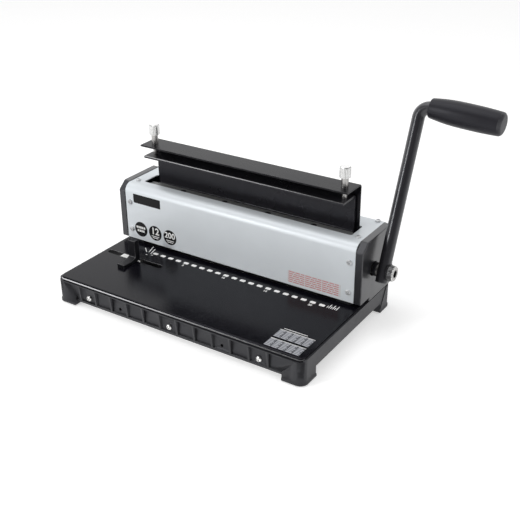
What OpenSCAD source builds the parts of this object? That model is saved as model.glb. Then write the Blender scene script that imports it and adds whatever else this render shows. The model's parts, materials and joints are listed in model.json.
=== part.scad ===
// Desk machine that punches a row of square holes along the edge of a stack of sheets,
// and closes wire combs between two jaws. One lever drives both through two racks.
// Millimetres, +Z up, +Y to the rear. The origin lies on the table, under the middle of
// the base plate.

/* [Base] */
// Width of the base plate
plate_w = 359; // [350:1:390]
// Depth of the base plate, front edge to rear edge
plate_d = 215; // [214:1:240]
// Height of the base plate's top above the table
plate_z = 35.5; // [35:0.5:42]
// Sheet thickness of the base plate
plate_t = 2; // [1.5:0.1:2.5]
// Height of the folded lip at the plate's front edge
plate_lip = 4; // [3.5:0.1:5]
// Outer radius of the plate's folded front edge
plate_fold_r = 2.8; // [2.6:0.1:3.4]
// How far the base moulding stands out past each side of the plate
moulding_reach = 2.5; // [1.5:0.1:3.5]
// Wall thickness of the base moulding
wall_t = 3; // [2:0.1:4]
// Height of the moulding's lower edge above the table
wall_clear = 6.5; // [5:0.1:8]
// Height of the side walls' lower edges above the table
side_clear = 14.5; // [12:0.5:16]
// How far the base moulding stands out past the plate's front edge
front_reach = 2; // [1:0.1:3]
// How far the ribbed front wall leans back at its lower edge
wall_lean = 3; // [1:0.1:3.6]
// Depth of the pockets between the ribs, at the wall's top
pocket_depth = 5; // [4.5:0.1:7]
// Height of the rim below the pockets
pocket_rim = 3; // [2:0.1:4]
// Height of the rim above the pockets
pocket_head = 1; // [0.8:0.1:3]
// Number of pockets along the front
pocket_count = 11; // [9:2:11]
// Distance from one pocket to the next
pocket_pitch = 25.5; // [24:0.1:26]
// How far the row of pockets lies left of the middle
pocket_shift = 6; // [0:0.5:7]
// Height of the front screws above the table
front_screw_up = 15; // [14:0.5:22]
// Thickness of a rib
rib_t = 2.5; // [2:0.1:4]
// Radius of the base's corners, seen from above
corner_r = 9; // [7:0.5:10]
// Width of a foot along each side
foot_w = 28; // [26:1:29]
// How far the rim around a foot's bottom stands out
foot_flare = 1; // [0.6:0.1:1.5]
// Height at which that rim starts
foot_flare_z = 5.5; // [5.2:0.1:7]
// Diameter of a rubber pad
pad_d = 16; // [12:0.5:18]
// How far a rubber pad stands out below its foot
pad_reach = 1.5; // [1:0.1:2.5]
// Depth of the socket that holds a rubber pad
pad_socket = 3; // [2:0.1:4]

/* [Body] */
// Distance from the plate's front edge back to the cover's front
body_setback = 129.2; // [125:0.1:130]
// Depth of the cover
body_d = 84; // [83:0.5:90]
// Height of the cover's top above the base plate
body_h = 82.5; // [81:0.5:92]
// Distance from the plate's side in to the cover's end
body_inset = 6.2; // [5:0.1:8]
// Sheet thickness of the cover
cover_t = 1.5; // [1.2:0.1:2]
// Outer radius of the cover's folds
cover_r = 11; // [8:0.5:13]
// Height of the throat that the sheets go into
throat = 4.9; // [4.5:0.1:6]
// Thickness of an end cap
cap_t = 10; // [7:0.5:12]
// How far an end cap stands proud of the cover
cap_proud = 0.8; // [0.5:0.1:1.2]
// Depth of the end cap's sloping corners
cap_slope_d = 12; // [9:0.5:14]
// Height of the end cap's sloping corners
cap_slope_h = 10; // [8:0.5:13]
// Length of the cap's raised lower edge at the front
cap_notch = 23; // [18:0.5:26]
// Distance from the cover's end in to the opening in its top
opening_inset = 16.8; // [14:0.1:20]
// Distance from the cover's front to the opening
opening_setback = 20.8; // [19.5:0.1:21.5]
// Thickness of a side frame
frame_t = 4; // [3:0.1:5]

/* [Punch] */
// Distance from one hole to the next
hole_pitch = 12.7; // [8:0.1:15]
// Least distance from the throat's end to the middle of the last hole
hole_margin = 18; // [12:0.5:24]
// Side of the square hole
hole_size = 4; // [3.5:0.1:4.5]
// Distance from the cover's front to the row of holes
punch_back = 10.8; // [10.5:0.1:11.2]
// Thickness of the die plate
die_t = 8; // [6:0.1:9]
// Thickness of the block that guides the punch pins
guide_t = 5.6; // [4.5:0.1:6]
// Thickness of the plate that holds the pin heads
retainer_t = 6; // [5:0.1:7]
// Depth of the ram bar
ram_d = 12; // [11:0.1:12.6]
// Diameter of a guide post
post_d = 9; // [8:0.1:9.4]
// Wire diameter of a return spring
spring_wire = 1.8; // [1.4:0.1:2]
// Number of turns in a return spring
spring_turns = 7; // [5:1:9]

/* [Drive] */
// Distance from the cover's front back to the shaft's axis
shaft_back = 30.8; // [30.4:0.1:32]
// Height of the shaft's axis above the base plate
shaft_up = 41.5; // [41:0.1:44]
// Diameter of the drive shaft
shaft_d = 14; // [12:0.1:15]
// Number of teeth on a pinion
pinion_teeth = 14; // [13:1:15]
// Module of the pinions and racks
gear_module = 1.5; // [1.4:0.05:1.55]
// Width of a pinion
pinion_w = 12; // [8:0.5:13]
// Angle through which the lever swings, in degrees
lever_swing = 85; // [70:1:90]

/* [Lever] */
// Diameter of the lever's bar
lever_d = 15; // [13:0.1:17]
// Distance from the shaft's axis to the grip's axis
lever_len = 196; // [150:1:240]
// Angle at which the lever leans back at rest, in degrees
lever_lean = 22; // [10:0.5:30]
// Length of the bar below the shaft's axis
lever_tail = 14; // [12:0.5:20]
// Gap between the end cap and the lever
lever_gap = 5.2; // [4:0.1:8]
// Radius of the lever's bend, at the bar's middle
bend_r = 12.5; // [11:0.5:20]
// Angle past square by which the grip droops, in degrees
grip_droop = 3; // [0:0.5:8]
// Length of the grip
grip_len = 87; // [70:1:120]
// Diameter of the grip at the bend
grip_d = 23; // [19:0.1:25]
// Diameter of the grip at its widest
grip_mid_d = 29.4; // [26:0.1:34]
// Distance along the grip to its widest part
grip_rise = 30; // [20:1:34]
// Length over which the grip narrows again to its free end
grip_fall = 20; // [12:1:24]
// Diameter of the grip at its free end
grip_end_d = 27; // [22:0.1:32]
// Diameter of the head of the lever's bolt
bolt_head_d = 19; // [16:0.5:20]
// Thickness of the bolt's head
bolt_head = 7; // [5:0.1:8]
// Distance across the flats of the key socket in that head
bolt_key = 9; // [6:0.5:11]
// Depth of the key socket
bolt_key_depth = 4; // [2:0.1:4.5]

/* [Jaws] */
// Distance from the opening's end in to the upper jaw's end, before the shift
jaw_inset = 4.3; // [4:0.1:10]
// Distance from the upper jaw's ends in to the lower jaw's ends
lower_inset = 5; // [2:0.1:6]
// How far the jaws and their thumb screws lie right of the middle
jaw_shift = 2.3; // [0:0.1:2.5]
// Height of the upper jaw's top above the cover
jaw_rise = 56.5; // [50:0.5:70]
// Sheet thickness of the upper jaw
upper_t = 2.1; // [1.8:0.1:3]
// Sheet thickness of the lower jaw
lower_t = 3; // [2.4:0.1:3.4]
// Gap between the jaws at rest
jaw_gap = 11.8; // [10:0.1:16]
// Outer radius of the jaws' folds
jaw_fold_r = 5; // [4.5:0.1:6]
// Distance from the cover's front back to the jaws' front edges
jaw_setback = 10.2; // [8:0.1:14]
// Distance from the upper jaw's ends in to a thumb screw
thumb_inset = 12.1; // [11.5:0.1:20]
// Distance from the jaws' front edges back to the thumb screws
thumb_back = 15.8; // [13:0.1:18]
// Diameter of a thumb screw's shank
thumb_d = 6; // [5:0.1:7]
// Diameter of a thumb screw's neck
neck_d = 8.6; // [8:0.1:10]
// Height of a thumb screw's neck
neck_h = 12.5; // [8:0.5:14]
// Diameter of a thumb screw's knurled head
knurl_d = 14; // [12:0.1:16]
// Height of a thumb screw's knurled head
knurl_h = 13; // [10:0.5:16]

/* [Edge guide] */
// Distance from the plate's front edge back to the middle of the guide's slot
slot_back = 88; // [86:0.1:92]
// Width of the guide's slot
slot_w = 8.2; // [7:0.1:9]
// Distance from the plate's left edge in to the slot
slot_inset = 5.5; // [5:0.1:8]
// Length of the guide's slot
slot_l = 90; // [86:1:96]
// Distance from the slot's left end to the guide's left face
guide_at = 41.2; // [38:0.1:44]
// Width of the guide
guide_w = 11.1; // [9:0.1:13]
// Height of the guide above the plate
guide_h = 29.4; // [24:0.1:32]
// Depth of the guide's tall part
guide_d = 8.6; // [8:0.1:10]
// Length of the guide's scooped toe
toe_l = 23.5; // [15:0.1:28]
// Height of the toe's tip
toe_tip = 5; // [4:0.1:6]
// Height of the toe where it meets the tall part
toe_h = 6.5; // [6:0.1:8]
// Depth of the hollow in the toe's top
toe_sag = 2.1; // [1:0.1:2.5]
// Length of the white slide beside the guide
slide_l = 17.4; // [14:0.1:19]
// How far the white slide shows on the guide's other side
slide_out = 3; // [1:0.1:3]

/* [Chip tray] */
// Height of the chip tray
tray_h = 14; // [10:0.5:15]
// Wall thickness of the chip tray
tray_wall = 1.8; // [1.4:0.1:2.4]
// Distance from the row of holes forward to the tray's front wall
tray_ahead = 22; // [19:0.5:30]

/* [Fits] */
// Radial clearance of turning and sliding fits
run_gap = 0.05; // [0.02:0.01:0.1]
// Radial clearance of screws and pins in their holes
bolt_gap = 0.1; // [0.05:0.01:0.2]
// Clearance between pieces that slide past each other
slide_gap = 0.3; // [0.2:0.05:0.5]
// Clearance over and under the ram's stroke
ram_gap = 0.4; // [0.3:0.05:0.6]
// Backlash between a pinion and its rack
backlash = 0.2; // [0.1:0.05:0.3]

/* [Hidden] */
$fn = 48;

// Base
front = -plate_d / 2;
rear = plate_d / 2;
plate_half = plate_w / 2;
plate_under = plate_z - plate_t;
base_half = plate_half + moulding_reach;
foot_z = pad_reach;
foot_front = front - front_reach;
foot_in = base_half - foot_w;
pocket_back = foot_front + pocket_depth;
pocket_low = wall_clear + pocket_rim;
pocket_top = plate_z - plate_lip - slide_gap - pocket_head;
wall_back = pocket_back + wall_t;
base_in = base_half - wall_t;
rib_half = rib_t / 2;
pocket_row = pocket_count * pocket_pitch / 2;
pan_t = 1.5;
pan_gap = 0.2;
pan_rise = 1;
pan_z = wall_clear + pan_rise;
pan_top = pan_z + pan_t;
foot_gap = 0.5;
foot_sole = 2.5;
foot_step = 10.5;
foot_top_w = 7;
screw_pockets = [0, (pocket_count - 1) / 2, pocket_count - 1];
bare_pockets = [2, pocket_count - 3];
front_screw_d = 4;

// Body
body_front = front + body_setback;
body_rear = body_front + body_d;
body_half = plate_half - body_inset;
body_top = plate_z + body_h;
cover_low = plate_z + throat;
cap_out = body_half + cap_t;
frame_in = body_half - frame_t;
frame_front = body_front + cover_t + slide_gap;
frame_rear = body_rear - cover_t - slide_gap;
frame_top = body_top - cover_t - slide_gap;
cover_screw_d = 4;
tab_w = 6.8;
tab_d = 6.5;
tab_h = 10;
tab_x = frame_in - tab_w / 2;
frame_bolt_d = 4;
frame_foot_t = 4;
tab_drop = 24.2;
tab_rise = 18.5;
tab_front_in = 19.8;
tab_rear_in = 11.5;
tab_cut = 2.5;
tab_front_z = [body_top - tab_drop, plate_z + tab_rise];
tab_top_y = [body_front + tab_front_in, body_rear - tab_rear_in];
opening_half = body_half - opening_inset;
opening_front = body_front + opening_setback;
frame_clear = 0.8;
frame_bolt_in = 8;
frame_foot_in = 2;

// Drive
shaft_y = body_front + shaft_back;
shaft_z = plate_z + shaft_up;
pitch_r = gear_module * pinion_teeth / 2;
pinion_out_r = pitch_r + gear_module;
pinion_root_r = pitch_r - 1.25 * gear_module;
pressure_angle = 25;
pinion_base_r = pitch_r * cos(pressure_angle);
tooth_pitch = PI * gear_module;
stroke = pitch_r * lever_swing * PI / 180;
bush_wall = 3;
bush_d = shaft_d + 2 * bush_wall;
bush_flange_d = bush_d + 2 * bush_wall;
bush_flange_t = 3;
collar_wall = 4;
collar_d = shaft_d + 2 * collar_wall;
collar_w = 8;
collar_out = frame_in - bush_flange_t - slide_gap;

// Ram and punches, stacked up from the throat
punch_y = body_front + punch_back;
post_inset = 14.3;
post_wall = 1.5;
post_drop = 2.5;
post_x = frame_in - post_inset;
post_top = body_top - cover_t - post_drop;
leg_in = post_x - post_d / 2 - post_wall;
leg_out = frame_in - frame_clear;
hole_count = 1 + floor(2 * (leg_in - hole_margin) / hole_pitch);
punch_half = (hole_count - 1) / 2 * hole_pitch;
block_top = cover_low + guide_t;
block_ahead = 8;
block_behind = 9;
block_front = punch_y - block_ahead;
block_back = punch_y + block_behind;
block_screw_d = 4;
block_screw_x = leg_out - 0.8 * block_screw_d;
die_ledge = 5;
stop_t = 2;
stop_gap = 1;
pin_sink = 0.6;
pin_tip = cover_low + pin_sink;
head_size = 1.5 * hole_size;
head_t = 2.5;
retainer_low = block_top + stroke + ram_gap;
ram_drop = 6.7;
ram_low = retainer_low + retainer_t;
ram_top = body_top - cover_t - ram_drop;
bridge_low = shaft_z + pinion_out_r + stroke + ram_gap;
ram_front = punch_y - ram_d / 2;
ram_back = punch_y + ram_d / 2;
spring_gap_in = 0.7;
spring_mid_r = post_d / 2 + spring_gap_in + spring_wire / 2;
spring_out_r = spring_mid_r + spring_wire / 2;
spring_room = 1.4;
ram_half = post_x - spring_out_r - spring_room;
ear_wall = 2;
ear_h = 18;
ear_half = post_x + post_d / 2 + ear_wall;
ear_low = ram_top - ear_h;
spring_l = ear_low - block_top - 2 * run_gap;
rack_w = 10;
rack_in = 1;
rack_sink = 3.5;
rack_x = ram_half - rack_w / 2 - rack_in;
rack_y = shaft_y - pitch_r;
rack_root = rack_y - 1.25 * gear_module;
rack_back = ram_back - rack_sink;

// Jaws
web_gap = 1;
upper_web_front = shaft_y + pinion_out_r + web_gap;
upper_web_rear = upper_web_front + upper_t;
lower_web_rear = upper_web_front - web_gap;
lower_web_front = lower_web_rear - lower_t;
jaw_half = opening_half - jaw_inset;
lower_half = jaw_half - lower_inset;
jaw_front = body_front + jaw_setback;
upper_top = body_top + jaw_rise;
lower_top = upper_top - upper_t - jaw_gap;
sole_in = 1.5;
sole_front = opening_front + sole_in;
sole_half = opening_half - sole_in;
thumb_x = jaw_half - thumb_inset;
thumb_y = jaw_front + thumb_back;
opening_behind = 3.9;
opening_rear = upper_web_rear + opening_behind;
jaw_screw_d = 5;
jaw_screw_x = [for (k = [-1.5 : 1 : 1.5]) k * jaw_half / 2.3];
beam_t = 4;
beam_d = 20;
beam_down = 17;
beam_up = 27;
beam_low = shaft_z - beam_down;
beam_high = shaft_z + beam_up;
upper_screw_z = (beam_low + beam_high) / 2;

// Lever, with its own axis along +Z before it leans back
lever_x = cap_out + lever_gap + lever_d / 2;
flat_depth = 1.5;
shaft_end = lever_x - lever_d / 2 + flat_depth;
washer_at = lever_x + lever_d / 2 - flat_depth;
washer_t = 1.6;
washer_d = 21;
lever_bolt_d = 8;
shaft_short = 1.5;
shaft_left = body_half - shaft_short;
bend_angle = 90 + grip_droop;
bend_swell = 0.05;
bend_lap = 2;
bend_z = lever_len - bend_r;
bend_end = [bend_r * (1 - cos(bend_angle)), 0, bend_z + bend_r * sin(bend_angle)];
grip_wall_end = 5;
grip_edge_r = 4;

// Edge guide
slot_y = front + slot_back;
slot_left = -plate_half + slot_inset;
slot_right = slot_left + slot_l;
guide_left = slot_left + guide_at;
guide_right = guide_left + guide_w;
guide_front = slot_y - 6.5;
guide_low = plate_z + run_gap;
key_w = slot_w - 2 * bolt_gap;
slide_top = plate_z + 0.3;
clamp_y = slot_y - 1.1;
clamp_t = 2.2;
clamp_top = plate_under - run_gap;
clamp_screw_d = 4;

// Chip tray
tray_gap = 3;
tray_half = foot_in - tray_gap;
tray_front = punch_y - tray_ahead;
tray_low = pan_top + slide_gap;

// Block from its lowest to its highest corner
module block(low, high) {
    translate(low)
        cube(high - low);
}

// Flat shape drawn in Y and Z, made into a bar from x0 to x1
module bar_along_x(x0, x1) {
    translate([x0, 0, 0])
        rotate([90, 0, 90])
            linear_extrude(height = x1 - x0)
                children();
}

// Quarter of a ring, for a fold in sheet metal
module fold(r, t) {
    intersection() {
        difference() {
            circle(r = r);
            circle(r = r - t);
        }
        square(r);
    }
}

// The same piece on the left and on the right
module both_sides() {
    children();
    mirror([1, 0, 0])
        children();
}

// Screw along Z: its head stands up from z = 0 and its shank goes down
module screw(d, length, head_d) {
    head_h = 0.55 * d;
    slot_t = 0.16 * head_d;
    slot_l = 0.6 * head_d;
    translate([0, 0, -length])
        cylinder(d = d, h = length);
    difference() {
        union() {
            cylinder(d = head_d, h = 0.6 * head_h);
            translate([0, 0, 0.6 * head_h])
                cylinder(d1 = head_d, d2 = 0.7 * head_d, h = 0.4 * head_h);
        }
        for (turn = [0, 90])
            rotate([0, 0, turn])
                translate([-slot_l / 2, -slot_t / 2, head_h / 2])
                    cube([slot_l, slot_t, head_h]);
    }
}

// Base

// One foot, drawn about its corner's upright axis, with its outer sides to -X and -Y
module foot_section() {
    polygon([[0, foot_z], [corner_r + foot_flare, foot_z], [corner_r + foot_flare, foot_z + foot_sole],
        [corner_r, foot_flare_z], [corner_r, plate_under], [0, plate_under]]);
}

module foot() {
    run = foot_w - corner_r;
    rotate_extrude()
        foot_section();
    rotate([90, 0, 180])
        linear_extrude(height = run)
            foot_section();
    translate([run, 0, 0])
        rotate([90, 0, -90])
            linear_extrude(height = run)
                foot_section();
    block([0, 0, foot_z], [run, run, plate_under]);
}

module at_feet() {
    axis_x = base_half - corner_r;
    for (side = [0, 1])
        mirror([side, 0, 0]) {
            translate([-axis_x, foot_front + corner_r, 0])
                children();
            translate([-axis_x, rear - corner_r, 0])
                mirror([0, 1, 0])
                    children();
        }
}

// Middle of a pocket's floor, with Z pointing out of the pocket
module at_pockets(which) {
    for (k = which)
        translate([(k + 0.5) * pocket_pitch - pocket_row - pocket_shift, pocket_back, front_screw_up])
            rotate([90, 0, 0])
                children();
}

// Outline in X and Z, cut from y0 to y1
module cut_along_y(y0, y1) {
    translate([0, y1, 0])
        rotate([90, 0, 0])
            linear_extrude(height = y1 - y0)
                children();
}

// Middle of each foot's underside
module at_pads() {
    at_feet()
        translate([foot_w / 2 - corner_r, foot_w / 2 - corner_r, 0])
            children();
}

// Last pocket of the right end, from its rib at rib_x to the foot, which narrows upwards
module end_pocket(rib_x) {
    outer = base_half - foot_top_w;
    low = foot_z + foot_step;
    slope = (plate_under - low) / (outer - foot_in);
    cut_along_y(foot_front - 1, pocket_back)
        polygon([[rib_x, pocket_low], [foot_in, pocket_low], [foot_in, low],
            [foot_in + (pocket_top - low) / slope, pocket_top], [rib_x, pocket_top]]);
}

module base_moulding() color("#1d1e20") {
    difference() {
        union() {
            bar_along_x(-foot_in - 1, foot_in + 1)
                polygon([[foot_front + wall_lean, wall_clear], [wall_back, wall_clear],
                    [wall_back, plate_under], [foot_front, plate_under]]);
            both_sides()
                block([base_in, foot_front + foot_w - 1, side_clear],
                    [base_half, rear - foot_w + 1, plate_under]);
            block([-base_in, rear - wall_t, wall_clear], [base_in, rear, plate_under]);
            at_feet()
                foot();
        }
        for (k = [0 : pocket_count - 1])
            block([k * pocket_pitch - pocket_row - pocket_shift + rib_half, foot_front - 1, pocket_low],
                [(k + 1) * pocket_pitch - pocket_row - pocket_shift - rib_half, pocket_back, pocket_top]);
        end_pocket(pocket_row - pocket_shift + rib_half);
        mirror([1, 0, 0])
            end_pocket(pocket_row + pocket_shift + rib_half);
        // Room for the plate's lip over the front wall and the front feet
        block([-base_half - 1, foot_front - 1, plate_z - plate_lip - slide_gap],
            [base_half + 1, front + plate_fold_r + slide_gap, plate_under + 1]);
        at_pockets(concat(screw_pockets, bare_pockets))
            cylinder(d = front_screw_d + 2 * bolt_gap, h = 3 * wall_t, center = true);
        block([-tray_half - slide_gap, rear - foot_w, wall_clear - 1],
            [tray_half + slide_gap, rear + 1, tray_low + tray_h + slide_gap]);
        at_pads()
            cylinder(d = pad_d + 2 * bolt_gap, h = foot_z + pad_socket);
        both_sides()
            at_frame_bolts()
                cylinder(d = frame_bolt_d + 4 * bolt_gap, h = 10 * plate_t, center = true);
    }
}

module base_plate() color("#222326") {
    difference() {
        intersection() {
            bar_along_x(-plate_half, plate_half) {
                translate([front + plate_fold_r, plate_under])
                    square([plate_d - plate_fold_r, plate_t]);
                translate([front + plate_fold_r, plate_z - plate_fold_r])
                    mirror([1, 0])
                        fold(plate_fold_r, plate_t);
                translate([front, plate_z - plate_lip])
                    square([plate_t, plate_lip - plate_fold_r]);
            }
            translate([0, 0, plate_z - plate_lip - 1])
                linear_extrude(height = plate_lip + 2)
                    plate_outline();
        }
        // The guide's slot, and the opening that the die stands up through
        translate([0, 0, plate_under - 1])
            linear_extrude(height = plate_t + 2)
                slot_outline();
        block([-leg_in, block_front - bolt_gap, plate_under - 1],
            [leg_in, block_back + bolt_gap, plate_z + 1]);
        both_sides() {
            translate([block_screw_x, punch_y, plate_under - 1])
                cylinder(d = block_screw_d + 2 * bolt_gap, h = plate_t + 2);
            at_frame_bolts()
                cylinder(d = frame_bolt_d + 2 * bolt_gap, h = 6 * plate_t, center = true);
        }
    }
}

// The plate seen from above, with round corners
module plate_outline() {
    r = corner_r - moulding_reach;
    translate([-plate_half, front + r])
        square([plate_w, plate_d - 2 * r]);
    translate([r - plate_half, front])
        square([plate_w - 2 * r, plate_d]);
    for (x = [r - plate_half, plate_half - r], y = [front + r, rear - r])
        translate([x, y])
            circle(r = r);
}

module slot_outline() {
    for (x = [slot_left + slot_w / 2, slot_right - slot_w / 2])
        translate([x, slot_y])
            circle(d = slot_w);
    translate([slot_left + slot_w / 2, slot_y - slot_w / 2])
        square([slot_l - slot_w, slot_w]);
}

module rubber_feet() color("#101010")
    at_pads()
        cylinder(d = pad_d, h = foot_z + pad_socket);

module base_front_screws() color("silver")
    at_pockets(screw_pockets)
        screw(front_screw_d, 0.8 * wall_t, 1.9 * front_screw_d);

module bottom_pan() color("#3a3c3e")
    block([foot_gap - foot_in, wall_back + pan_gap, pan_z],
        [foot_in - foot_gap, rear - wall_t - pan_gap, pan_top]);

module chip_tray() color("#2b2d30") {
    difference() {
        block([-tray_half, tray_front, tray_low], [tray_half, rear, tray_low + tray_h]);
        block([-tray_half + tray_wall, tray_front + tray_wall, tray_low + tray_wall],
            [tray_half - tray_wall, rear - wall_t, tray_low + tray_h + 1]);
        // Finger hollow in the tray's rear face
        translate([0, rear, tray_low + tray_h])
            rotate([0, 90, 0])
                cylinder(r = 0.7 * wall_t, h = tray_half / 2.5, center = true);
    }
}

// Body

// Outline of the cover, set in by d on every side, standing on z = low
module cover_outline(d, low) {
    r = cover_r - d;
    translate([body_front + d, low])
        square([body_d - 2 * d, body_top - cover_r - low]);
    translate([body_front + cover_r, low])
        square([body_d - 2 * cover_r, body_top - d - low]);
    for (y = [body_front + cover_r, body_rear - cover_r])
        translate([y, body_top - cover_r])
            circle(r = r);
}

// Places of the cover's screws on one side, each with its head outwards
module at_cover_screws() {
    for (z = tab_front_z) {
        translate([tab_x, body_front, z])
            rotate([90, 0, 0])
                children();
        translate([tab_x, body_rear, z])
            rotate([-90, 0, 0])
                children();
    }
    for (y = tab_top_y)
        translate([tab_x, y, body_top])
            children();
}

module cover() color("#b9bec2") {
    difference() {
        bar_along_x(-body_half, body_half)
            cover_outline(0, cover_low);
        bar_along_x(-body_half - 1, body_half + 1)
            cover_outline(cover_t, cover_low - 1);
        block([-opening_half, opening_front, body_top - cover_r],
            [opening_half, opening_rear, body_top + 1]);
        both_sides()
            at_cover_screws()
                cylinder(d = cover_screw_d + 2 * bolt_gap, h = 4 * cover_t, center = true);
    }
}

module cover_screws() color("silver")
    both_sides()
        at_cover_screws()
            screw(cover_screw_d, cover_t + slide_gap + 0.8 * tab_d, 1.75 * cover_screw_d);

// End cap at the right, with straight slopes at its upper corners
module end_cap() {
    y0 = body_front - cap_proud;
    y1 = body_rear + cap_proud;
    z1 = body_top + cap_proud;
    bar_along_x(body_half, cap_out)
        polygon([[y0, cover_low], [y0 + cap_notch, cover_low], [y0 + cap_notch, plate_z],
            [y1, plate_z], [y1, z1 - cap_slope_h], [y1 - cap_slope_d, z1],
            [y0 + cap_slope_d, z1], [y0, z1 - cap_slope_h]]);
}

module right_end_cap() color("#2a2b2d")
    difference() {
        end_cap();
        on_shaft(body_half - 1, cap_out + 1, shaft_d + 4);
    }

module left_end_cap() color("#2a2b2d")
    mirror([1, 0, 0])
        end_cap();

module at_frame_bolts() {
    for (y = [block_back + frame_bolt_in, frame_rear - frame_bolt_in])
        translate([frame_in - tab_w / 2, y, plate_z])
            children();
}

// Block at the side frame's inner face, given by its corners in Y and Z
module tab(low, high) {
    block([frame_in - tab_w, low[0], low[1]], [frame_in, high[0], high[1]]);
}

// Side frame at the right, with tabs behind the cover's screws and a foot on the plate
module side_frame() {
    difference() {
        union() {
            bar_along_x(frame_in, body_half)
                cover_outline(cover_t + slide_gap, plate_z);
            for (z = tab_front_z) {
                tab([frame_front, z - tab_h / 2], [frame_front + tab_d, z + tab_h / 2]);
                tab([frame_rear - tab_d, z - tab_h / 2], [frame_rear, z + tab_h / 2]);
            }
            for (y = tab_top_y)
                tab([y - tab_h / 2, frame_top - tab_d], [y + tab_h / 2 - tab_cut, frame_top]);
            tab([block_back + frame_foot_in, plate_z], [frame_rear - frame_foot_in, plate_z + frame_foot_t]);
        }
        block([frame_in - 1, frame_front - 1, plate_z - 1], [body_half + 1, block_back + 1, cover_low]);
        translate([frame_in - 1, shaft_y, shaft_z])
            rotate([0, 90, 0])
                cylinder(d = bush_d + 2 * bolt_gap, h = frame_t + 2);
        at_cover_screws()
            translate([0, 0, -cover_t - slide_gap - tab_d])
                cylinder(d = cover_screw_d + 2 * bolt_gap, h = tab_d + 1);
        at_frame_bolts()
            cylinder(d = frame_bolt_d + 2 * bolt_gap, h = 4 * frame_foot_t, center = true);
    }
}

module right_side_frame() color("#8d9194")
    side_frame();

module left_side_frame() color("#8d9194")
    mirror([1, 0, 0])
        side_frame();

module frame_bolts() color("silver")
    both_sides()
        at_frame_bolts()
            translate([0, 0, frame_foot_t]) {
                rotate([0, 0, 30])
                    cylinder(d = 1.7 * frame_bolt_d, h = 0.7 * frame_bolt_d, $fn = 6);
                translate([0, 0, -frame_foot_t - 1.5 * plate_t])
                    cylinder(d = frame_bolt_d, h = frame_foot_t + 1.5 * plate_t);
            }

module rear_beam() color("#7d8184") {
    difference() {
        bar_along_x(-frame_in, frame_in)
            polygon([[upper_web_rear, beam_low], [upper_web_rear + beam_d, beam_low],
                [upper_web_rear + beam_d, beam_low + beam_t], [upper_web_rear + beam_t, beam_low + beam_t],
                [upper_web_rear + beam_t, beam_high - beam_t], [upper_web_rear + beam_d, beam_high - beam_t],
                [upper_web_rear + beam_d, beam_high], [upper_web_rear, beam_high]]);
        at_upper_jaw_screws()
            cylinder(d = jaw_screw_d + 2 * bolt_gap, h = 6 * beam_t, center = true);
    }
}

// Punch tool

module at_holes() {
    for (k = [0 : hole_count - 1])
        translate([k * hole_pitch - punch_half, punch_y, 0])
            children();
}

module square_post(size, z0, z1) {
    block([-size / 2, -size / 2, z0], [size / 2, size / 2, z1]);
}

module die_plate() color("#6f7376") {
    die_low = plate_z - die_t;
    difference() {
        union() {
            block([-leg_in + bolt_gap, block_front, plate_under - 1],
                [leg_in - bolt_gap, block_back, plate_z]);
            block([-leg_out, block_front - die_ledge, die_low],
                [leg_out, block_back + die_ledge, plate_under]);
        }
        at_holes()
            square_post(hole_size + 2 * bolt_gap, die_low - 1, plate_z + 1);
        both_sides()
            translate([block_screw_x, punch_y, die_low - 1])
                cylinder(d = block_screw_d + 2 * bolt_gap, h = die_t + 2);
    }
}

module punch_guide() color("#7f8386") {
    difference() {
        union() {
            block([-leg_out, block_front, cover_low], [leg_out, block_back, block_top]);
            both_sides()
                block([leg_in, block_front, plate_z], [leg_out, block_back, block_top]);
        }
        at_holes()
            square_post(hole_size + 2 * bolt_gap, cover_low - 1, block_top + 1);
        both_sides() {
            translate([post_x, punch_y, plate_z - 1])
                cylinder(d = post_d + 2 * run_gap, h = block_top);
            translate([block_screw_x, punch_y, plate_z - 1])
                cylinder(d = block_screw_d + 2 * bolt_gap, h = block_top);
        }
    }
}

module guide_block_screws() color("silver")
    both_sides()
        translate([block_screw_x, punch_y, block_top])
            screw(block_screw_d, block_top - plate_z + 0.9 * die_t, 1.4 * block_screw_d);

module back_stop() color("#95999c")
    block([stop_gap - leg_in, block_back, plate_z + run_gap],
        [leg_in - stop_gap, block_back + stop_t, block_top]);

module guide_post() {
    translate([post_x, punch_y, plate_z])
        cylinder(d = post_d, h = post_top - plate_z);
}

module right_guide_post() color("#b4b7ba")
    guide_post();

module left_guide_post() color("#b4b7ba")
    mirror([1, 0, 0])
        guide_post();

// Return spring: one wire wound along a helix between the guide block and the ram's ear
spring_sides = 6;
spring_rings = 8 * spring_turns;
spring_rise = spring_l - spring_wire;
function spring_centre(k) = [spring_mid_r * cos(45 * k), spring_mid_r * sin(45 * k),
    spring_wire / 2 + spring_rise * k / spring_rings];
function spring_point(k, j) = spring_centre(k)
    + spring_wire / 2 * cos(360 * j / spring_sides) * [cos(45 * k), sin(45 * k), 0]
    + spring_wire / 2 * sin(360 * j / spring_sides) * [0, 0, 1];
function ring_corner(k, j) = k * spring_sides + j % spring_sides;
spring_points = [for (k = [0 : spring_rings]) for (j = [0 : spring_sides - 1]) spring_point(k, j)];
spring_faces = concat(
    [for (j = [1 : spring_sides - 2]) [0, j + 1, j]],
    [for (k = [0 : spring_rings - 1]) for (j = [0 : spring_sides - 1]) each [
        [ring_corner(k, j), ring_corner(k, j + 1), ring_corner(k + 1, j)],
        [ring_corner(k, j + 1), ring_corner(k + 1, j + 1), ring_corner(k + 1, j)]]],
    [for (j = [1 : spring_sides - 2]) [for (c = [0, j, j + 1]) ring_corner(spring_rings, c)]]);
spring_gap = spring_rise / spring_turns - spring_wire;
echo(spring_gap = spring_gap);

module return_spring() {
    translate([post_x, punch_y, block_top + run_gap])
        polyhedron(points = spring_points, faces = spring_faces, convexity = 10);
}

module right_return_spring() color("#9da1a4")
    return_spring();

module left_return_spring() color("#9da1a4")
    mirror([1, 0, 0])
        return_spring();

// Ram

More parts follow.
